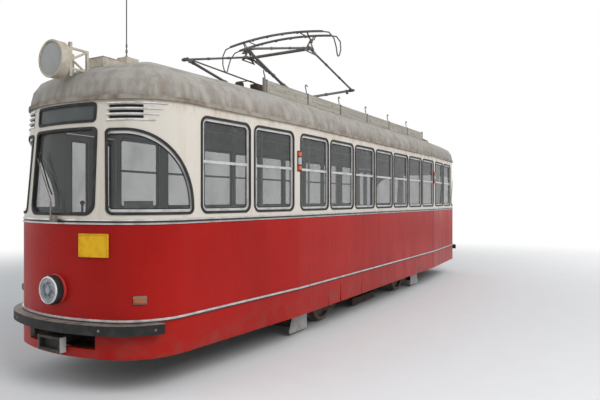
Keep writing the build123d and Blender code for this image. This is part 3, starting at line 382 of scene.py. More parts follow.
def body_paint(name):
    """Red and cream with streaks, stains and dust, painted shadow between the belt strips, and a plain lining
    inside.
    """
    p = bpy.context.scene.tram_finishes
    net = Net(name)
    z = net.axis(2)
    cloud = net.noise(0.9, 5)
    fine = net.noise(38, 4)
    streak = net.noise(2, 3, 0.5, (3, 3, 0.3))
    wave = net.noise(1.1, 2, 0.5, (1, 1, 0.4))
    red = net.mix(net.ramp(cloud, 0.3, 0.75), p.red, shade(p.red, 0.8))
    red = net.mix(net.ramp(streak, 0.5, 0.8) * 0.2, red, (0.3, 0.022, 0.016))
    cream = net.mix(net.ramp(streak, 0.5, 0.85), p.cream, (0.53, 0.46, 0.37))
    under_eaves = net.ramp(z, 2.66, 2.81)
    stain = under_eaves * net.ramp(net.noise(7, 6, 0.65, (1, 1, 0.4)), 0.42, 0.72)
    cream = net.mix(stain * 0.6, cream, (0.3, 0.19, 0.11))
    colour = net.mix(z > p.belt, red, cream)
    # Painted shadow: a dark band on the body in the gap between the two belt strips.
    painted_shadow_gap = (z > p.belt + 0.014) * (z < p.belt + 0.034)
    colour = net.mix(painted_shadow_gap, colour, (0.05, 0.045, 0.04))
    near_sill = net.ramp(z, 0.8, 0.36)
    dust = near_sill * net.ramp(net.noise(5, 5), 0.35, 0.8) * 0.4
    colour = net.mix(dust, colour, (0.16, 0.08, 0.06))
    normal = net.node("NewGeometry", output="Normal")
    outwards = net.vector("MULTIPLY", net.place, (0.35, 1, 0))
    inside = net.vector("DOT_PRODUCT", normal, outwards, output="Value") < -0.08
    colour = net.mix(inside, colour, (0.3, 0.29, 0.25))
    rough = 0.24 + net.ramp(streak, 0.3, 0.8) * 0.16 + fine * 0.06
    return net.surface(colour, rough, fine * 0.35 + wave * 12, 0.0008, specular=0.14)


def roof_paint(name):
    """Weathered grey with blotches, and runs towards the eaves."""
    p = bpy.context.scene.tram_finishes
    net = Net(name)
    cloud = net.noise(1.6, 6, 0.6)
    blotch = net.noise(6.5, 6, 0.65, (1, 1, 0.5))
    streak = net.noise(2.6, 4, 0.55, (4, 4, 0.4))
    fine = net.noise(60, 5)
    colour = net.mix(net.ramp(cloud, 0.35, 0.7), p.roof, shade(p.roof, 1.12))
    colour = net.mix(net.ramp(blotch, 0.4, 0.66) * 0.6, colour, (0.205, 0.185, 0.16))
    near_eaves = net.ramp(net.axis(2), 3.1, 2.84)
    colour = net.mix(near_eaves * net.ramp(streak, 0.36, 0.64) * 0.7, colour, (0.19, 0.145, 0.11))
    return net.surface(colour, 0.6 + fine * 0.2, fine + blotch * 2, 0.0015, specular=0.25)


def plain_paint(name, colour, worn, rough=0.45, scale=7, metallic=0, depth=0.0006, coat=0):
    """Paint with clouds, fine grain and worn patches."""
    net = Net(name)
    cloud = net.noise(scale, 6, 0.6)
    fine = net.noise(scale * 14, 4)
    mixed = net.mix(net.ramp(cloud, 0.4, 0.72), colour, worn)
    return net.surface(
        mixed, rough + cloud * 0.2, fine + cloud * 2, depth, Metallic=metallic, Coat_Weight=coat, specular=0.25
    )


def bright_metal(name, colour=(0.75, 0.75, 0.76), rough=0.16):
    """Plated or polished metal, dulled in clouds."""
    net = Net(name)
    cloud = net.noise(9, 5)
    fine = net.noise(120, 3)
    tone = net.mix(net.ramp(cloud, 0.35, 0.75), colour, shade(colour, 0.62))
    return net.surface(tone, rough + cloud * 0.2, fine, 0.0003, Metallic=1)


def banded_trim(name, low, high):
    """Bright moulding whose lower part between two heights is painted dark, dull and not metal, as shade."""
    net = Net(name)
    z = net.axis(2)
    # Painted shade: the band between the two heights is dark, rough and not metal.
    painted_shade_band = (z > low) * (z < high)
    cloud = net.noise(9, 5)
    tone = net.mix(net.ramp(cloud, 0.35, 0.75), (0.74, 0.74, 0.74), (0.5, 0.49, 0.47))
    tone = net.mix(painted_shade_band, tone, (0.035, 0.03, 0.03))
    return net.surface(tone, 0.2 + cloud * 0.2 + painted_shade_band * 0.35, cloud, 0.0003, Metallic=1 - painted_shade_band)


def window_glass(name):
    """Thin dusty glass that lets the cabin show."""
    net = Net(name)
    film = net.noise(2.6, 5, 0.6, (1, 1, 0.5))
    facing = net.node("LayerWeight", Blend=0.5, output="Facing")
    alpha = 0.26 + net.ramp(film, 0.45, 0.8) * 0.12 + facing ** 4 * 0.5
    return net.surface((0.11, 0.115, 0.115), 0.03 + film * 0.06, Alpha=alpha, specular=0.6)


def coupler_paint(name):
    """Light grey cheeks round a black mouth, the black painted as the shade inside the open funnel."""
    half_shaded_mouth = 0.1635
    net = Net(name)
    cloud = net.noise(11, 6, 0.6)
    # Painted shade: near black between the cheeks, for the shadowed inside of the mouth.
    tone = net.mix(abs(net.axis(1)) > half_shaded_mouth, (0.022, 0.02, 0.019), (0.4, 0.4, 0.38))
    tone = net.mix(net.ramp(cloud, 0.5, 0.72) * 0.5, tone, (0.12, 0.09, 0.07))
    return net.surface(tone, 0.55 + cloud * 0.2, cloud * 2, 0.0008)


def antenna_paint(name):
    """Cream boxes under a dark rod."""
    rod_foot = 3.45
    net = Net(name)
    cloud = net.noise(9, 6, 0.6)
    tone = net.mix(net.ramp(cloud, 0.4, 0.72), (0.47, 0.425, 0.35), (0.31, 0.26, 0.19))
    tone = net.mix(net.axis(2) > rod_foot, tone, (0.045, 0.043, 0.04))
    return net.surface(tone, 0.55 + cloud * 0.2, cloud * 2, 0.0006)


def board_paint(name):
    """Flaking pale paint on planks."""
    net = Net(name)
    grain = net.noise(5, 5, 0.6, (0.3, 1, 6))
    flake = net.ramp(net.noise(16, 6, 0.7), 0.6, 0.64)
    spots = net.ramp(net.noise(42, 3, 0.6), 0.66, 0.7)
    tone = net.mix(net.ramp(grain, 0.35, 0.7), (0.4, 0.375, 0.325), (0.29, 0.265, 0.225))
    tone = net.mix(flake * 0.8, tone, (0.16, 0.11, 0.08))
    tone = net.mix(spots * 0.8, tone, (0.05, 0.04, 0.035))
    return net.surface(tone, 0.75 + grain * 0.15, grain + flake * -1.5, 0.0015)


def ribbed_lens(name, colour, clear):
    """Pressed glass with fine upright ribs."""
    net = Net(name)
    ribs = (net.axis(1) * 480).sine()
    haze = net.noise(20, 4)
    tone = net.mix(haze, colour, shade(colour, 0.85))
    return net.surface(
        tone, 0.06 + haze * 0.1, ribs * 0.5 + haze, 0.0008, Alpha=clear + haze * 0.1, specular=0.7
    )


def fluted_glass(name):
    """Headlight glass with upright flutes, painted glints on their ridges and a painted dark ring of shade."""
    net = Net(name)
    flutes = (net.axis(1) * 420).sine()
    # Painted highlight: the flute ridges are coloured lighter as glints.
    flute_glint = net.ramp(flutes, -0.9, 0.9)
    cloud = net.noise(14, 3)
    middle = (NOSE_X + 0.08, 0, HEADLIGHT_Z)
    off = net.vector("LENGTH", net.vector("SUBTRACT", net.place, middle), output="Value")
    # Painted shade: a dark ring round the middle of the glass.
    dark = net.ramp(off, 0.022, 0.045) * net.ramp(off, 0.112, 0.07)
    tone = net.mix(flute_glint * 0.6, (0.42, 0.44, 0.46), (0.66, 0.69, 0.72))
    tone = net.mix(dark * net.ramp(cloud, 0.35, 0.6), tone, (0.09, 0.1, 0.11))
    return net.surface(tone, 0.08 + cloud * 0.1, flutes + cloud, 0.0008, Alpha=0.45 + flute_glint * 0.15 + cloud * 0.1)


# What makes each finish and the values it takes after the name. A row without a maker is a plain_paint: base
# colour, worn colour, roughness, then where it differs clouds' scale, metallic, grain's depth and coat.
FINISHES = {
    "body_paint": (body_paint,),
    "roof_paint": (roof_paint,),
    "window_glass": (window_glass,),
    "coupler_paint": (coupler_paint,),
    "antenna_paint": (antenna_paint,),
    "board_paint": (board_paint,),
    # A banded trim's two heights bound its band of painted shade.
    "belt_chrome": (banded_trim, 1.6275, 1.6305),
    "moulding_chrome": (banded_trim, 0.7, 0.713),
    "gutter_paint": ((0.31, 0.275, 0.235), (0.15, 0.11, 0.08), 0.6, 5),
    "sign_grey": ((0.1, 0.11, 0.105), (0.075, 0.08, 0.08), 0.45, 2),
    "floor_boards": ((0.12, 0.08, 0.05), (0.07, 0.05, 0.035), 0.7),
    "plate_yellow": ((0.72, 0.4, 0.008), (0.6, 0.32, 0.01), 0.35, 14),
    "insulator_glaze": ((0.22, 0.08, 0.04), (0.15, 0.06, 0.03), 0.15),
    "window_rubber": ((0.022, 0.021, 0.02), (0.05, 0.047, 0.043), 0.55),
    "window_alloy": ((0.58, 0.58, 0.57), (0.42, 0.415, 0.4), 0.3, 9, 0.35),
    "chrome": (bright_metal,),
    "dull_steel": ((0.24, 0.21, 0.18), (0.13, 0.1, 0.08), 0.42, 9, 0.5),
    "hook_steel": ((0.19, 0.18, 0.17), (0.12, 0.09, 0.07), 0.5, 9, 0.2),
    "under_steel": ((0.035, 0.03, 0.027), (0.1, 0.055, 0.03), 0.7, 9),
    "black_plastic": ((0.012, 0.012, 0.013), (0.03, 0.03, 0.03), 0.4),
    "grey_paint": ((0.42, 0.42, 0.41), (0.29, 0.27, 0.24), 0.55),
    "sign_cream": ((0.47, 0.425, 0.35), (0.31, 0.26, 0.19), 0.6, 9),
    "bumper_rubber": ((0.017, 0.017, 0.018), (0.045, 0.04, 0.037), 0.5, 5, 0, 0.0012),
    "pantograph_steel": ((0.145, 0.135, 0.13), (0.105, 0.085, 0.072), 0.5, 3, 0.2, 0.0002),
    "wheel_steel": ((0.1, 0.085, 0.075), (0.16, 0.1, 0.07), 0.5, 9, 0.5),
    "orange_lens": (ribbed_lens, (0.62, 0.085, 0.015), 0.92),
    "red_lens": (ribbed_lens, (0.55, 0.01, 0.01), 0.9),
    "clear_lens": (ribbed_lens, (0.7, 0.72, 0.72), 0.55),
    "amber_lens": (ribbed_lens, (0.34, 0.105, 0.03), 0.92),
    "headlight_glass": (fluted_glass,),
    "reflector": (bright_metal, (0.42, 0.43, 0.44), 0.12),
    "cabin_dark": ((0.05, 0.052, 0.055), (0.08, 0.08, 0.08), 0.5),
    "collar_red": ((0.42, 0.014, 0.009), (0.3, 0.012, 0.009), 0.3, 7, 0, 0.0006, 0.3),
    "plate_edge": ((0.72, 0.4, 0.01), (0.45, 0.25, 0.02), 0.35),
    "disc_grey": ((0.33, 0.33, 0.32), (0.27, 0.27, 0.26), 0.4, 4),
    "lamp_white": ((0.8, 0.8, 0.76), (0.7, 0.7, 0.66), 0.3),
}
MATERIALS = {}

# The finish of each CAD node
DRESSED = {
    "body_paint":
        "front_end_shell rear_end_shell left_side_wall right_side_wall skirt_flaps "
        "front_door_leaf_a front_door_leaf_b rear_door_leaf_a rear_door_leaf_b",
    "roof_paint": "roof_shell",
    "gutter_paint": "roof_gutter",
    "window_glass":
        "side_glazing end_glazing front_door_glass_a front_door_glass_b rear_door_glass_a "
        "rear_door_glass_b",
    "sign_grey": "sign_panels",
    "window_rubber": "window_gaskets",
    "window_alloy": "window_frames grab_poles",
    "belt_chrome": "belt_trim",
    "moulding_chrome": "lower_moulding",
    "chrome": "vent_strips",
    "bumper_rubber": "bumpers",
    "floor_boards": "floor_deck floor_right door_steps",
    "under_steel":
        "underframe centre_sills cross_members axle_guards leaf_springs brake_gear track_brakes "
        "brake_hangers traction_motors seat_frames guard_boards",
    "wheel_steel": "front_wheelset rear_wheelset",
    "grey_paint": "lifeguards driver_desk",
    "coupler_paint": "couplers",
    "sign_cream": "roof_disc_sign",
    "antenna_paint": "roof_antenna",
    "plate_yellow": "number_plate",
    "board_paint": "roof_boards",
    "insulator_glaze": "pantograph_insulators",
    "pantograph_steel":
        "pantograph_base pantograph_lower_front pantograph_lower_rear pantograph_upper_front "
        "pantograph_upper_rear pantograph_head",
}


def finish(name):
    """A shared finish by name, made once."""
    if name not in MATERIALS:
        row = FINISHES[name]
        make, *values = row if callable(row[0]) else (plain_paint, *row)
        MATERIALS[name] = make(name, *values)
    return MATERIALS[name]


class TRAM_OT_finishes(bpy.types.Operator):
    """Give every CAD node its finish"""

    bl_idname = "tram.finishes"
    bl_label = "Finish the CAD nodes"

    def execute(self, context):
        for name, nodes in DRESSED.items():
            for node in nodes.split():
                mesh = NODES[node].data
                mesh.materials.clear()
                mesh.materials.append(finish(name))
        return {"FINISHED"}


def looks_out(face, least=0.6):
    """Whether a face of the glass looks away from the cabin."""
    middle = face.calc_center_median()
    away = Vector((middle.x * 0.35 if abs(middle.x) > 4.8 else 0, middle.y, 0))
    return away.length > 0 and face.normal.dot(away.normalized()) > least


def corner_pane(face):
    return abs(face.calc_center_median().y) > 0.5 and looks_out(face, 0.5)


def door_pane(face):
    return abs(face.normal.y) > 0.8


class TRAM_OT_windows(bpy.types.Operator):
    """Bright frames of the corner windows and dark beads inside the frames"""

    bl_idname = "tram.windows"
    bl_label = "Window frames and beads"

    def execute(self, context):
        p = context.scene.tram_windows
        frames = Shape().rim("end_glazing", p.frame, 0.017, corner_pane)
        frames.done("corner_window_frames", "window_alloy", "alloy")
        beads = Shape().rim("side_glazing", p.bead, 0.004, looks_out)
        beads.rim("end_glazing", p.bead, 0.004, corner_pane)
        beads.done("window_beads", "window_rubber", "rubber")
        return {"FINISHED"}


def bumper_fittings(lip_height):
    """Steel lips over the bumpers' rubber, and the bolts in its face."""
    Shape().sliced("bumpers", 0.64, 0.66, lip_height / 0.02, 0.6942).done("bumper_lips", "dull_steel")

    head = ((0, 0.004), (0.009, 0.004), (0.013, 0), (0.013, -0.004))
    face_r, corner_face_r = 1.996, 0.716
    bolts = Shape()
    for sx in BOTH:
        for y in (0.58, -0.58):
            at = math.asin(y / NOSE_R)
            out = Vector((sx * math.cos(at), math.sin(at), 0))
            bolts.turned(head, Vector((sx * NOSE_CENTRE_X, 0, 0.648)) + out * face_r, out, 14)
        for sy in BOTH:
            out = Vector((sx * 0.55, sy * 0.835, 0)).normalized()
            bolts.turned(head, Vector((sx * CORNER_X, sy * CORNER_Y, 0.646)) + out * corner_face_r, out, 14)
    bolts.done("bumper_bolts", "dull_steel")


def headlight(r):
    """Collar, ring, rim, reflector, glass and bulb, from the rim's radius."""
    front_x = NOSE_X + 0.074
    shell, front = (NOSE_X, 0, HEADLIGHT_Z), (front_x, 0, HEADLIGHT_Z)
    hole_r = r - 0.02
    collar = Shape().turned(
        ((r + 0.03, -0.036), (r + 0.026, -0.012), (r + 0.014, 0.004), (r + 0.007, 0.01), (hole_r, 0.01),
         (hole_r, -0.04), (r + 0.03, -0.036)), shell, AHEAD, 56,
    )
    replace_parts(collar.done("headlight_collar", "collar_red", "body_red"), "headlight")
    Shape().turned(
        ((hole_r, 0.004), (r + 0.004, 0.006), (r + 0.009, 0.014), (r + 0.009, 0.056), (r + 0.004, 0.066),
         (r - 0.004, 0.072), (hole_r, 0.072), (hole_r, 0.004)), shell, AHEAD, 56,
    ).done("headlight_ring", "black_plastic", "rubber")
    rim = Shape().turned(
        ((r - 0.018, 0), (r - 0.003, 0), (r, 0.003), (r - 0.001, 0.009), (r - 0.006, 0.015), (r - 0.013, 0.016),
         (r - 0.017, 0.011), (r - 0.018, 0)), front, AHEAD, 56,
    )
    rim.block((front_x + 0.006, 0, HEADLIGHT_Z + r - 0.001), (0.014, 0.024, 0.01), 0.002)
    rim.done("headlight_rim", "chrome", "chrome")
    bowl = Shape().turned(
        ((0, -0.06), (0.03, -0.056), (0.06, -0.044), (0.09, -0.022), (r - 0.017, 0.002)), front, AHEAD, 40
    )
    bowl.rod((front_x - 0.058, 0, HEADLIGHT_Z), (front_x - 0.03, 0, HEADLIGHT_Z), 0.014)
    bowl.done("headlight_reflector", "reflector", "chrome", outward=False)
    lens_r = r - 0.0175
    lens = Shape().turned(
        ((0, 0.015), (0.04, 0.0145), (0.08, 0.012), (0.102, 0.008), (lens_r, 0.003), (lens_r, 0),
         (0.095, 0.004), (0.06, 0.01), (0, 0.012)), front, AHEAD, 40,
    )
    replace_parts(lens.done("headlight_lens_glass", "headlight_glass", "glass"), "headlight_lens")
    Shape().ball((front_x - 0.03, 0, HEADLIGHT_Z), 0.014).done("headlight_bulb", "lamp_white", "glass")


def pocket_shade_plates():
    """Dark plates that line the pockets of the couplers, put in as painted shade so the pockets look dark inside.
    """
    plates = Shape()
    for sx in BOTH:
        plates.block((sx * 5.33, 0, 0.56), (0.012, 1.64, 0.4), 0.003)
        for z in (0.592, 0.425):
            plates.block((sx * 5.42, 0, z), (0.19, 1.02, 0.008), 0.002)
    plates.done("coupler_pocket_shade_plates", "under_steel")


def wiper():
    """Housing, pair of arms and blade on the right windscreen."""
    arms = Shape().block((5.672, 0.03, 1.668), (0.05, 0.07, 0.06), 0.012, 3)
    arms.turned(((0, 0.02), (0.014, 0.018), (0.018, 0), (0.018, -0.02)), (5.69, 0.03, 1.672), AHEAD, 16)
    elbow, stay = (5.664, -0.012, 1.83), (5.65, -0.045, 1.85)
    arms.rod((5.703, 0.028, 1.672), elbow, 0.0065, 8)
    arms.rod(elbow, (5.612, -0.3, 2.262), 0.005, 8)
    arms.rod((5.69, 0.000, 1.69), stay, 0.004, 8)
    arms.rod(stay, (5.606, -0.286, 2.215), 0.004, 8)
    arms.done("wiper_arms", "dull_steel", "rubber")
    bend = (5.616, -0.12, 1.985)
    blade = Shape().rod(bend, (5.576, -0.33, 2.33), 0.007, 8)
    blade.rod((5.624, -0.06, 1.905), bend, 0.007, 8)
    blade.done("wiper_blade", "black_plastic", "rubber")


def plate_frame():
    """Raised edge and screws of the blank plate, square to the nose where it hangs."""
    low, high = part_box("number_plate")
    turn = math.radians(14.6)
    out = Vector((math.cos(turn), math.sin(turn), 0))
    along = Vector((-math.sin(turn), math.cos(turn), 0))
    middle = Vector((NOSE_CENTRE_X, 0, 0)) + out * 1.914 + Vector((0, 0, (low.z + high.z) / 2))
    edges = Shape()
    for dz in (-0.1055, 0.1055):
        edges.block(middle + Vector((0, 0, dz)), (0.01, 0.318, 0.01), 0.003, 2, turn)
    for dy in (-0.1545, 0.1545):
        edges.block(middle + along * dy, (0.01, 0.01, 0.219), 0.003, 2, turn)
    for dy in (-0.13, 0.13):
        edges.ball(middle + along * dy + Vector((0, 0, 0.085)) + out * -0.001, 0.006)
    edges.done("plate_frame", "plate_edge", "plate_yellow")


def vent_baffles():
    """Dark plates behind the slots of the front corners' vents."""
    baffle_r = 0.545
    baffles = Shape()
    for sy in BOTH:
        for slot_z in (2.622, 2.675, 2.727):
            for i in range(9):
                a = math.radians(13 + i * 4.1)
                place = (4.903 + baffle_r * math.cos(a), sy * (CORNER_Y + baffle_r * math.sin(a)), slot_z + 0.014)
                baffles.block(place, (0.012, 0.05, 0.04), 0, 1, sy * a)
    baffles.done("vent_baffles", "black_plastic", "rubber")


class TRAM_OT_front(bpy.types.Operator):
    """Bumper lips and bolts, headlight, pocket plates of painted shade, wiper, plate frame and vent baffles"""

    bl_idname = "tram.front"
    bl_label = "Front and rear fittings"

    def execute(self, context):
        p = context.scene.tram_front
        bumper_fittings(p.lip)
        headlight(p.lamp)
        pocket_shade_plates()
        wiper()
        plate_frame()
        vent_baffles()
        return {"FINISHED"}


def turn_signals():
    """Three lenses in a dark base on each outer pillar."""
    middle_z, end_dz, gap_dz = 2.348, 0.088, 0.052
    body, ends, clear = Shape(), Shape(), Shape()
    for sx, sy in CORNERS:
        x, y = sx * 2.963, sy * 1.186
        body.block((x, y - sy * 0.01, middle_z), (0.072, 0.016, 0.268), 0.006, 2)
        lenses = ((middle_z + end_dz, ends, 0.064), (middle_z, clear, 0.1), (middle_z - end_dz, ends, 0.064))
        for z, lens, tall in lenses:
            lens.block((x, y + sy * 0.005, z), (0.06, 0.036, tall), 0.014, 4)
        for z in (middle_z + gap_dz, middle_z - gap_dz):
            body.block((x, y + sy * 0.003, z), (0.064, 0.03, 0.006), 0.002, 1)
    body.done("signal_bases", "window_rubber", "rubber")
    piece = ends.done("signal_lenses", "orange_lens", "lamp_orange")
    clear.done("signal_middles", "clear_lens", "glass")
    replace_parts(piece, "signal_lamps")


def marker_lamps():
    """Framed lamps on the corners, amber in front and red behind."""
    angle = math.radians(45.2)
    frames, amber, red = Shape(), Shape(), Shape()
    for sx, sy in CORNERS:
        lens = amber if sx > 0 else red
        out = Vector((sx * math.cos(angle), sy * math.sin(angle), 0))
        turn = math.atan2(out.y, out.x)
        place = Vector((sx * CORNER_X, sy * CORNER_Y, 0.915)) + out * 0.622
        frames.block(place, (0.026, 0.126, 0.08), 0.01, 3, turn)
        lens.block(place + out * 0.01, (0.024, 0.106, 0.06), 0.01, 4, turn)
        for dy in (-0.057, 0.057):
            frames.ball(place + Vector((-out.y, out.x, 0)) * dy + out * 0.012, 0.005)
    frames.done("marker_frames", "dull_steel", "chrome")
    amber.done("front_marker_lenses", "amber_lens", "lamp_orange")
    red.done("rear_marker_lenses", "red_lens", "lamp_orange")


class TRAM_OT_signals(bpy.types.Operator):
    """Turn signals on the pillars and lamps on the corners"""

    bl_idname = "tram.signals"
    bl_label = "Signals and marker lamps"

    def execute(self, context):
        turn_signals()
        marker_lamps()
        return {"FINISHED"}


def disc_sign(r):
    """Rim with its screws, struts and face of the round sign."""
    screw_r = r - 0.011
    rim = Shape().turned(
        ((r - 0.022, 0), (r - 0.022, 0.01), (r - 0.018, 0.013), (r - 0.004, 0.013), (r + 0.001, 0.008),
         (r + 0.001, -0.012), (r - 0.004, -0.014)), (SIGN_X, 0, SIGN_Z), AHEAD, 56,
    )
    for i in range(8):
        a = math.tau * (i + 0.5) / 8
        rim.ball((SIGN_X + 0.014, screw_r * math.cos(a), SIGN_Z + screw_r * math.sin(a)), 0.005)
    for sy in BOTH:
        for foot_z in (3.325, 3.12):
            rim.rod((5.53, sy * 0.11, 3.225), (5.358, sy * 0.11, foot_z), 0.011, 10)
    rim.done("disc_rim", "sign_cream", "cream")
    Shape().turned(
        ((0, 0.006), (r - 0.04, 0.005), (r - 0.024, 0.002), (r - 0.024, 0)), (SIGN_X, 0, SIGN_Z), AHEAD, 56
    ).done("disc_face", "disc_grey", "sign_white")


def antenna_fittings():
    """Lids and end plates of the aerial's boxes, and its socket, rings and screws."""
    box_x, rod_x = 4.717, 4.737
    covers, dark = Shape(), Shape()
    covers.block((box_x, 0, 3.419), (0.15, 0.118, 0.008), 0.003)
    covers.block((4.981, 0, 3.341), (0.352, 0.232, 0.008), 0.003)
    for x in (4.83, 5.13):
        covers.block((x, 0, 3.3), (0.01, 0.226, 0.075), 0.003)
    dark.turned(((0, 0.03), (0.014, 0.03), (0.02, 0.01), (0.028, 0), (0, 0)), (rod_x, 0, 3.421), UP, 20)
    for z, radius in ((3.5, 0.012), (3.56, 0.01)):
        dark.turned(((0, 0.02), (radius, 0.016), (radius, -0.016), (0, -0.02)), (rod_x, 0, z), UP, 14)
    for dx in (-0.055, 0.055):
        for dy in (-0.04, 0.04):
            dark.ball((box_x + dx, dy, 3.424), 0.006, 0.6)
    covers.done("antenna_covers", "sign_cream", "cream")
    dark.done("antenna_fittings", "dull_steel")


def board_fittings(hook):
    """Hooks, straps, end posts and bearers of the long roof boards."""
    # Steps of a hook along the car, and its heights as shares of the whole
    curl = ((-0.01, 0.35), (0.02, 0.6), (0.03, 0.95), (-0.012, 1.05), (-0.04, 0.85))
    hooks, straps, bearers = Shape(), Shape(), Shape()
    for i in range(6):
        x = 2.9 - 1.13 * i
        for sy in BOTH:
            y = sy * BOARD_Y
            hook_y = y - sy * 0.018
            points = [(x - 0.01, hook_y, BOARD_TOP - 0.06)]
            points += [(x + dx, hook_y, BOARD_TOP + hook * share) for dx, share in curl]
            hooks.wire(points, 0.0085, 2)
            hooks.block((x, y, BOARD_TOP - 0.006), (0.04, 0.046, 0.02), 0.004, 2)
            straps.block((x, y + sy * 0.015, 3.375), (0.034, 0.006, 0.15), 0.002, 1)
            for z in (3.33, 3.42):
                straps.ball((x, y + sy * 0.019, z), 0.008, 0.7)
                straps.ball((x, y - sy * 0.034, z), 0.008, 0.7)
    for sy in BOTH:
        for x in (2.945, -3.835):
            hooks.block((x, sy * BOARD_Y, 3.36), (0.026, 0.034, 0.25), 0.004, 2)
        bearers.block((-0.445, sy * 0.632, 3.281), (6.78, 0.034, 0.022), 0.004, 1)
    hooks.done("board_hooks", "hook_steel")
    bearers.done("board_bearers", "under_steel")
    straps.done("board_straps", "dull_steel")


def roof_ladder():
    """Rails with rungs that bend down over the rear dome."""
    rail_y = 0.4
    path = ((-3.95, 3.4), (-4.6, 3.4), (-5.00, 3.385), (-5.22, 3.3), (-5.34, 3.12), (-5.37, 3.02))
    ladder = Shape()
    for y in (rail_y, -rail_y):
        ladder.wire([(x, y, z) for x, z in path], 0.013, 3)
        for x, foot_z, top_z in ((-4.05, 3.23, 3.395), (-4.55, 3.22, 3.395), (-5.00, 3.19, 3.38)):
            ladder.rod((x, y, foot_z), (x, y, top_z), 0.01, 10)
    rungs = [(-4.05 - i * 0.16, 3.398) for i in range(7)] + [(-5.2, 3.318), (-5.3, 3.205)]
    for x, z in rungs:
        ladder.rod((x, -rail_y, z), (x, rail_y, z), 0.01, 8)
    ladder.done("roof_ladder", "dull_steel")


def roof_cases():
    """Small drum and boxes with their pipes beside the pantograph."""
    drum = ((0, 0.05), (0.04, 0.048), (0.052, 0.04), (0.052, -0.04), (0.04, -0.048), (0, -0.05))
    cases = Shape().turned(drum, (2.8, 0.12, 3.462), (0, 1, 0), 28)
    cases.block((2.8, 0.12, 3.398), (0.1, 0.09, 0.04), 0.006)
    cases.block((2.58, 0.26, 3.438), (0.15, 0.13, 0.11), 0.01, 3)
    cases.block((2.4, 0.26, 3.425), (0.1, 0.1, 0.085), 0.008, 3)
    cases.rod((2.33, 0.26, 3.44), (1.98, 0.26, 3.44), 0.012, 12)
    cases.wire(((2.8, 0.12, 3.5), (2.7, 0.17, 3.54), (2.62, 0.24, 3.53), (2.58, 0.26, 3.49)), 0.007, 2)
    for dx in (-0.05, 0.05):
        cases.turned(((0, 0.01), (0.01, 0.009), (0.014, 0)), (2.58 + dx, 0.26, 3.492), UP, 12)
    cases.done("roof_cases", "under_steel")


class TRAM_OT_roof(bpy.types.Operator):
    """Disc sign, aerial, fittings of the boards, rear ladder and small cases"""

    bl_idname = "tram.roof"
    bl_label = "Roof fittings"

    def execute(self, context):
        p = context.scene.tram_roof
        disc_sign(p.disc)
        antenna_fittings()
        board_fittings(p.hook)
        roof_ladder()
        roof_cases()
        return {"FINISHED"}


def base_fittings():
    """Bolts, side pads and cross plates of the pantograph's base frame."""
    bolt = ((0, 0.012), (0.009, 0.012), (0.01, 0.006), (0.01, 0))
    plates = Shape()
    for sy in BOTH:
        for sx in BOTH:
            for dy in (-0.018, 0.018):
                plates.turned(bolt, (PANTO_X + sx * 0.33, sy * 0.42 + dy, 3.425), UP, 6)
        plates.block((PANTO_X, sy * 0.3, 3.437), (0.42, 0.05, 0.024), 0.005)
    for dx in (-0.19, 0.19):
        plates.block((PANTO_X + dx, 0, 3.432), (0.05, 0.7, 0.014), 0.004)
    plates.done("pantograph_base_plates", "pantograph_steel")


def raising_springs():
    """A coil spring between brackets on each side of the base."""
    length, turns, steps = 0.34, 14, 8
    coil_r, wire_r, spring_z = 0.026, 0.006, 3.514
    springs = Shape()
    for sy in BOTH:
        y = sy * 0.235
        points = []
        for i in range(turns * steps + 1):
            a = math.tau * i / steps
            x = PANTO_X - length / 2 + length * i / (turns * steps)
            points.append((x, y + coil_r * math.cos(a), spring_z + coil_r * math.sin(a)))
        springs.wire(points, wire_r, 2)
        for start, stop in ((-0.24, -0.16), (0.16, 0.24)):
            springs.rod((PANTO_X + start, y, spring_z), (PANTO_X + stop, y, spring_z), 0.008, 8)
        for sx in BOTH:
            springs.block((PANTO_X + sx * 0.24, y, 3.48), (0.012, 0.06, 0.11), 0.003)
    springs.done("pantograph_springs", "under_steel")


def collars(shape, start, stop, shares, half_length, radius):
    """Sleeves round a bar, at shares of its length."""
    run = (stop - start).normalized() * half_length
    for share in shares:
        at = start.lerp(stop, share)
        shape.rod(at - run, at + run, radius, 20)


def arm_fittings(end, sx):
    """Collars on both arms of one half, with the lugs and caps at its knee."""
    cap = ((0, 0.006), (0.015, 0.005), (0.019, 0), (0.019, -0.012))
    knee_x, shaft_x = PANTO_X + sx * PANTO_KNEE, PANTO_X + sx * PANTO_OFFSET
    lower, upper = Shape(), Shape()
    for sy in BOTH:
        foot, knee = Vector((shaft_x, sy * 0.35, PANTO_BASE)), Vector((knee_x, sy * 0.516, KNEE_Z))
        collars(lower, foot, knee, (0.05, 0.5, 0.93), 0.022, 0.026)
        lower.block(knee + Vector((-sx * 0.012, -sy * 0.045, -0.028)), (0.07, 0.014, 0.06), 0.006, 2)
        lower.rod(knee + Vector((0, -sy * 0.075, -0.045)), knee + Vector((0, -sy * 0.032, -0.045)), 0.012, 12)
        low = Vector((knee_x, sy * PANTO_ARM_Y, KNEE_Z))
        high = Vector((shaft_x, sy * PANTO_ARM_Y, PANTO_APEX))
        collars(upper, low, high, (0.045, 0.34, 0.66, 0.925), 0.02, 0.0205)
        upper.turned(cap, (knee_x, sy * (PANTO_ARM_Y + 0.042), KNEE_Z), (0, sy, 0), 14)
    lower.done("lower_collars_" + end, "pantograph_steel", body="pantograph_lower_" + end)
    upper.done("upper_collars_" + end, "pantograph_steel", body="pantograph_upper_" + end)


def strip_z(y):
    """Height of the bowed contact strips at a place across the car."""
    return HEAD_TOP - 0.07 * (y / 0.87) ** 2


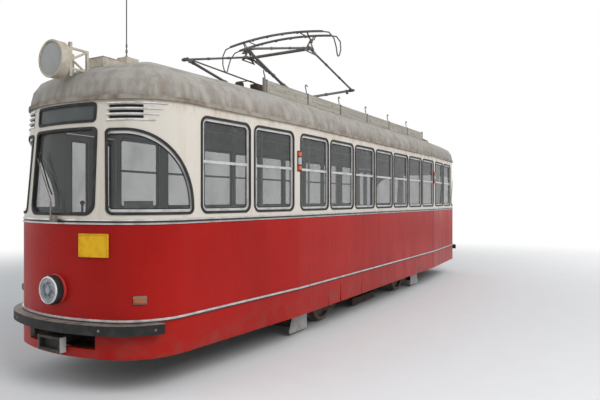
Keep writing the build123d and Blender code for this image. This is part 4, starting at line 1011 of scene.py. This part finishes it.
def head_fittings():
    """Shaft caps, bent spring bars, clamps and ties of the collector head."""
    strip_x = 0.13
    cap = ((0, 0.01), (0.016, 0.009), (0.022, 0.004), (0.022, 0), (0, 0))
    bar = ((0.03, 0.12), (0.05, 0.155), (0.09, 0.15), (0.1, 0.19), (strip_x, 0.205), (strip_x, 0.235))
    head, bars = Shape(), Shape()
    for sy in BOTH:
        for sx in BOTH:
            head.turned(cap, (PANTO_X + sx * PANTO_OFFSET, sy * 0.592, PANTO_APEX), (0, sy, 0), 16)
            bars.wire([(PANTO_X + sx * dx, sy * 0.602, PANTO_APEX + dz) for dx, dz in bar], 0.008, 3)
            head.block((PANTO_X + sx * strip_x, sy * 0.588, PANTO_APEX + 0.226), (0.03, 0.04, 0.01), 0.003)
        head.block((PANTO_X, sy * 0.6, PANTO_APEX + 0.115), (0.07, 0.016, 0.05), 0.005)
    for sx in BOTH:
        for y in (-0.42, -0.14, 0.14, 0.42):
            head.block((PANTO_X + sx * strip_x, y, strip_z(y) - 0.03), (0.044, 0.03, 0.01), 0.003)
    for y in (-0.48, 0.48):
        z = strip_z(y) - 0.034
        head.rod((PANTO_X - strip_x, y, z), (PANTO_X + strip_x, y, z), 0.009, 12)
    head.done("head_fittings", "pantograph_steel", body="pantograph_head")
    bars.done("head_springs", "under_steel", body="pantograph_head")


class TRAM_OT_pantograph(bpy.types.Operator):
    """Springs, collars, brackets and clamps of the pantograph"""

    bl_idname = "tram.pantograph"
    bl_label = "Pantograph fittings"

    def execute(self, context):
        base_fittings()
        raising_springs()
        arm_fittings("front", 1)
        arm_fittings("rear", -1)
        head_fittings()
        return {"FINISHED"}


def axle_box_covers():
    """Round covers of the axle boxes with their bolts."""
    cover = ((0, 0.02), (0.055, 0.018), (0.078, 0.01), (0.086, 0), (0.086, -0.03))
    bolt = ((0, 0.007), (0.008, 0.006), (0.01, 0))
    bolt_ring = 0.068
    covers = Shape()
    for sx, sy in CORNERS:
        x, y = sx * AXLE_X, sy * 0.98
        covers.turned(cover, (x, y, AXLE_Z), (0, sy, 0), 28)
        for i in range(6):
            a = math.tau * (i + 0.5) / 6
            place = (x + bolt_ring * math.cos(a), y + sy * 0.011, AXLE_Z + bolt_ring * math.sin(a))
            covers.turned(bolt, place, (0, sy, 0), 6)
    covers.done("axle_box_covers", "dull_steel")


def brake_rods():
    """Spring hangers, brake rods, pipes, air tank and cases under the floor."""
    hanger_y, push_y = 0.905, 0.8
    tank = ((0, 0.42), (0.1, 0.41), (0.15, 0.36), (0.15, -0.36), (0.1, -0.41), (0, -0.42))
    # Half length, side place, height, radius, sides
    pipes = ((1.05, 0.4, 0.42, 0.014, 10), (4.7, 0.62, 0.7, 0.016, 12), (4.7, 0.7, 0.66, 0.012, 12))
    rods = Shape()
    for sx, sy in CORNERS:
        for dx in (-0.34, 0.34):
            x = sx * AXLE_X + dx
            rods.rod((x, sy * hanger_y, 0.5), (x, sy * hanger_y, 0.6), 0.012, 10)
            rods.block((x, sy * hanger_y, 0.5), (0.05, 0.06, 0.014), 0.003)
        inner, outer = sx * AXLE_X - sx * 0.52, sx * AXLE_X + sx * 0.52
        rods.rod((inner, sy * push_y, 0.3), (outer, sy * push_y, 0.3), 0.011, 10)
    for sy in BOTH:
        for half, y, z, radius, sides in pipes:
            rods.rod((-half, sy * y, z), (half, sy * y, z), radius, sides)
    rods.turned(tank, (0.35, 0.58, 0.56), AHEAD, 28)
    rods.block((-0.55, -0.6, 0.56), (0.7, 0.4, 0.26), 0.015, 3)
    rods.block((-0.6, 0.58, 0.58), (0.55, 0.38, 0.22), 0.015, 3)
    rods.block((0.6, -0.6, 0.58), (0.42, 0.36, 0.24), 0.015, 3)
    rods.done("brake_rods", "under_steel")


def lifeguard_hangers():
    """Grey bars that carry the guard plates before the wheels."""
    y = 0.885
    hangers = Shape()
    for sy in BOTH:
        for sx in BOTH:
            hangers.block((sx * 2.32, sy * y, 0.385), (0.2, 0.03, 0.05), 0.006)
            hangers.rod((sx * 2.62, sy * y, 0.34), (sx * 2.62, sy * y, 0.58), 0.013, 10)
            hangers.rod((sx * 2.3, sy * y, 0.36), (sx * 2.3, sy * y, 0.58), 0.013, 10)
    hangers.done("lifeguard_hangers", "grey_paint", "grey_paint")


class TRAM_OT_running_gear(bpy.types.Operator):
    """Axle box covers, spring hangers, brake rods, pipes and lifeguard hangers"""

    bl_idname = "tram.running_gear"
    bl_label = "Running gear fittings"

    def execute(self, context):
        axle_box_covers()
        brake_rods()
        lifeguard_hangers()
        return {"FINISHED"}


class TRAM_OT_doors(bpy.types.Operator):
    """Rubbers round the panes of the folding doors"""

    bl_idname = "tram.doors"
    bl_label = "Door fittings"

    def execute(self, context):
        for door in ("front_door", "rear_door"):
            for leaf in "ab":
                rubbers = Shape().rim(f"{door}_glass_{leaf}", 0.022, 0.006, door_pane)
                rubbers.done(f"{door}_leaf_{leaf}_rubbers", "window_rubber", "rubber", f"{door}_{leaf}")
        return {"FINISHED"}


def seats(colour):
    """Two rows of moulded seats with bright shells and grab bars."""
    moulded = plain_paint("seat_shell", colour, (0.15, 0.035, 0.02), 0.35, 8)
    pitch, back_z = 0.78, 1.48
    shells, pads = Shape(), Shape()
    for i in range(8):
        x = -2.6 + pitch * i
        for sy in BOTH:
            y = sy * 0.795
            pads.block((x, y, 1.238), (0.39, 0.545, 0.05), 0.022, 4)
            shells.block((x, y, 1.216), (0.398, 0.555, 0.012), 0.005, 2)
            pads.block((x - 0.212, y, back_z), (0.034, 0.545, 0.5), 0.015, 4)
            shells.block((x - 0.236, y, back_z), (0.012, 0.555, 0.53), 0.005, 2)
            shells.rod((x - 0.236, y - 0.2, 1.742), (x - 0.236, y + 0.2, 1.742), 0.01, 12)
    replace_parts(pads.done("seat_pads", moulded, "seat_plastic"), "seat_cushions", "seat_backs")
    shells.done("seat_shells", "window_alloy", "alloy")


def ceiling_fittings(radius):
    """Handrails on their hangers, and the row of lamps between them."""
    rail_x, rail_z = 4.4, 2.86
    rails = Shape()
    for sy in BOTH:
        y = sy * 0.45
        rails.rod((-rail_x, y, rail_z), (rail_x, y, rail_z), radius, 16)
        for x in (-rail_x, -rail_x / 2, 0, rail_x / 2, rail_x):
            rails.rod((x, y, rail_z), (x, y, 3.02), radius * 0.8, 12)
    rails.done("handrails", "window_alloy", "alloy")
    lamps = Shape()
    for i in range(6):
        lamps.block((-3.6 + 1.44 * i, 0, 3.205), (0.9, 0.16, 0.05), 0.018, 3)
    lamps.done("ceiling_lamps", "lamp_white", "sign_white")


def driver_controls():
    """Tops, cases, levers and controllers of the desks at both ends."""
    tops, controls = Shape(), Shape()
    for sx in BOTH:
        tops.block((sx * 5.25, 0, 1.628), (0.3, 0.8, 0.016), 0.006)
        controls.block((sx * 5.23, 0.16, 1.65), (0.16, 0.22, 0.03), 0.008)
        controls.rod((sx * 5.2, -0.16, 1.63), (sx * 5.16, -0.2, 1.8), 0.012, 12)
        controls.ball((sx * 5.16, -0.2, 1.82), 0.026)
        controls.block((sx * 5.05, -0.3, 1.44), (0.1, 0.14, 0.3), 0.012, 3)
    tops.done("desk_tops", "cabin_dark", "rubber")
    controls.done("desk_controls", "black_plastic", "rubber")


class TRAM_OT_cabin(bpy.types.Operator):
    """Moulded seats, handrails, ceiling lamps and the driver's controls"""

    bl_idname = "tram.cabin"
    bl_label = "Cabin"

    def execute(self, context):
        p = context.scene.tram_cabin
        seats(tuple(p.shell))
        ceiling_fittings(p.rail)
        driver_controls()
        return {"FINISHED"}


def photo_camera(p):
    """The camera solved from the photo, held level."""
    data = bpy.data.cameras.new("photo_camera")
    data.sensor_width = 36
    data.lens = p.lens
    data.clip_end = 200
    camera = set_in_scene("photo_camera", data)
    camera.location = p.eye
    look = Vector((-math.cos(p.turn), -math.sin(p.turn), 0))
    camera.rotation_euler = look.to_track_quat("-Z", "Y").to_euler()
    bpy.context.scene.camera = camera


def pale_floor():
    """Floor that takes the shadow and fades to white far out."""
    half_size, fade_start, fade_end = 60, 7, 16
    bm = bmesh.new()
    bmesh.ops.create_grid(bm, x_segments=2, y_segments=2, size=half_size)
    mesh = bpy.data.meshes.new("floor")
    bm.to_mesh(mesh)
    bm.free()
    net = Net("floor_pale")
    grain = net.noise(3, 4)
    tone = net.mix(grain, (0.7, 0.7, 0.7), (0.74, 0.74, 0.74))
    near = net.shader(tone, 0.9, grain, 0.0005, specular=0.1)
    far = net.node("Emission", Color=(1, 1, 1), Strength=1)
    away = net.vector("LENGTH", net.place, output="Value")
    camera_ray = net.node("LightPath", output="Is Camera Ray")
    fade = net.ramp(away, fade_start, fade_end) * camera_ray
    mesh.materials.append(net.end(net.node("MixShader", None, fade, near, far)))
    set_in_scene("floor", mesh)


def studio_world():
    """Soft bluish light, and plain white where the world is seen."""
    net = Net("studio", bpy.data.worlds.new("studio"), "OutputWorld")
    rays = ("Is Camera Ray", "Is Transmission Ray", "Is Glossy Ray")
    camera, through, glossy = (net.node("LightPath", output=ray) for ray in rays)
    seen = camera.most(through.most(glossy))
    light = net.node("Background", Color=(0.9, 0.95, 1), Strength=0.55)
    back = net.node("Background", Color=(1, 1, 1), Strength=1)
    bpy.context.scene.world = net.end(net.node("MixShader", None, seen, light, back))


def studio_lamps():
    """Three round area lamps, which no gloss reflects."""
    for name, place, aim, size, power in (
        ("key", (7, 10, 9), (1, 0, 1.5), 8, 1000),
        ("fill", (12, -6, 6), (3, 0, 1.5), 7, 220),
        ("rear", (-10, 7, 8), (-2, 0, 1.5), 8, 550),
    ):
        data = bpy.data.lights.new(name, "AREA")
        data.shape = "DISK"
        data.size = size
        data.energy = power
        lamp = set_in_scene(name, data)
        lamp.visible_glossy = False
        lamp.location = place
        lamp.rotation_euler = (Vector(aim) - Vector(place)).to_track_quat("-Z", "Y").to_euler()


class TRAM_OT_stage(bpy.types.Operator):
    """Camera, floor, world, lamps and view transform"""

    bl_idname = "tram.stage"
    bl_label = "Stage and camera"

    def execute(self, context):
        context.scene.view_settings.view_transform = "Standard"
        photo_camera(context.scene.tram_stage)
        pale_floor()
        studio_world()
        studio_lamps()
        return {"FINISHED"}


class TRAM_PT_panel(bpy.types.Panel):
    """Buttons and values of the tram"""

    bl_idname = "TRAM_PT_panel"
    bl_label = "Tram"
    bl_space_type = "VIEW_3D"
    bl_region_type = "UI"
    bl_category = "Tram"

    def draw(self, context):
        for name, group in GROUPS:
            for value in group.__annotations__:
                self.layout.prop(getattr(context.scene, name), value)
        for operator in OPERATORS:
            self.layout.operator(operator.bl_idname)


OPERATORS = (
    TRAM_OT_finishes, TRAM_OT_windows, TRAM_OT_front, TRAM_OT_signals, TRAM_OT_roof, TRAM_OT_pantograph,
    TRAM_OT_running_gear, TRAM_OT_doors, TRAM_OT_cabin, TRAM_OT_stage,
)
GROUPS = (
    ("tram_finishes", TramFinishes), ("tram_windows", TramWindows), ("tram_front", TramFront),
    ("tram_roof", TramRoof), ("tram_cabin", TramCabin), ("tram_stage", TramStage),
)


def register():
    for name, group in GROUPS:
        bpy.utils.register_class(group)
        setattr(bpy.types.Scene, name, PointerProperty(type=group))
    for cls in (*OPERATORS, TRAM_PT_panel):
        bpy.utils.register_class(cls)


def unregister():
    for cls in (TRAM_PT_panel, *reversed(OPERATORS)):
        bpy.utils.unregister_class(cls)
    for name, group in reversed(GROUPS):
        delattr(bpy.types.Scene, name)
        bpy.utils.unregister_class(group)


def main():
    register()
    for operator in OPERATORS:
        group, action = operator.bl_idname.split(".")
        getattr(getattr(bpy.ops, group), action)()


if __name__ == "__main__":
    main()
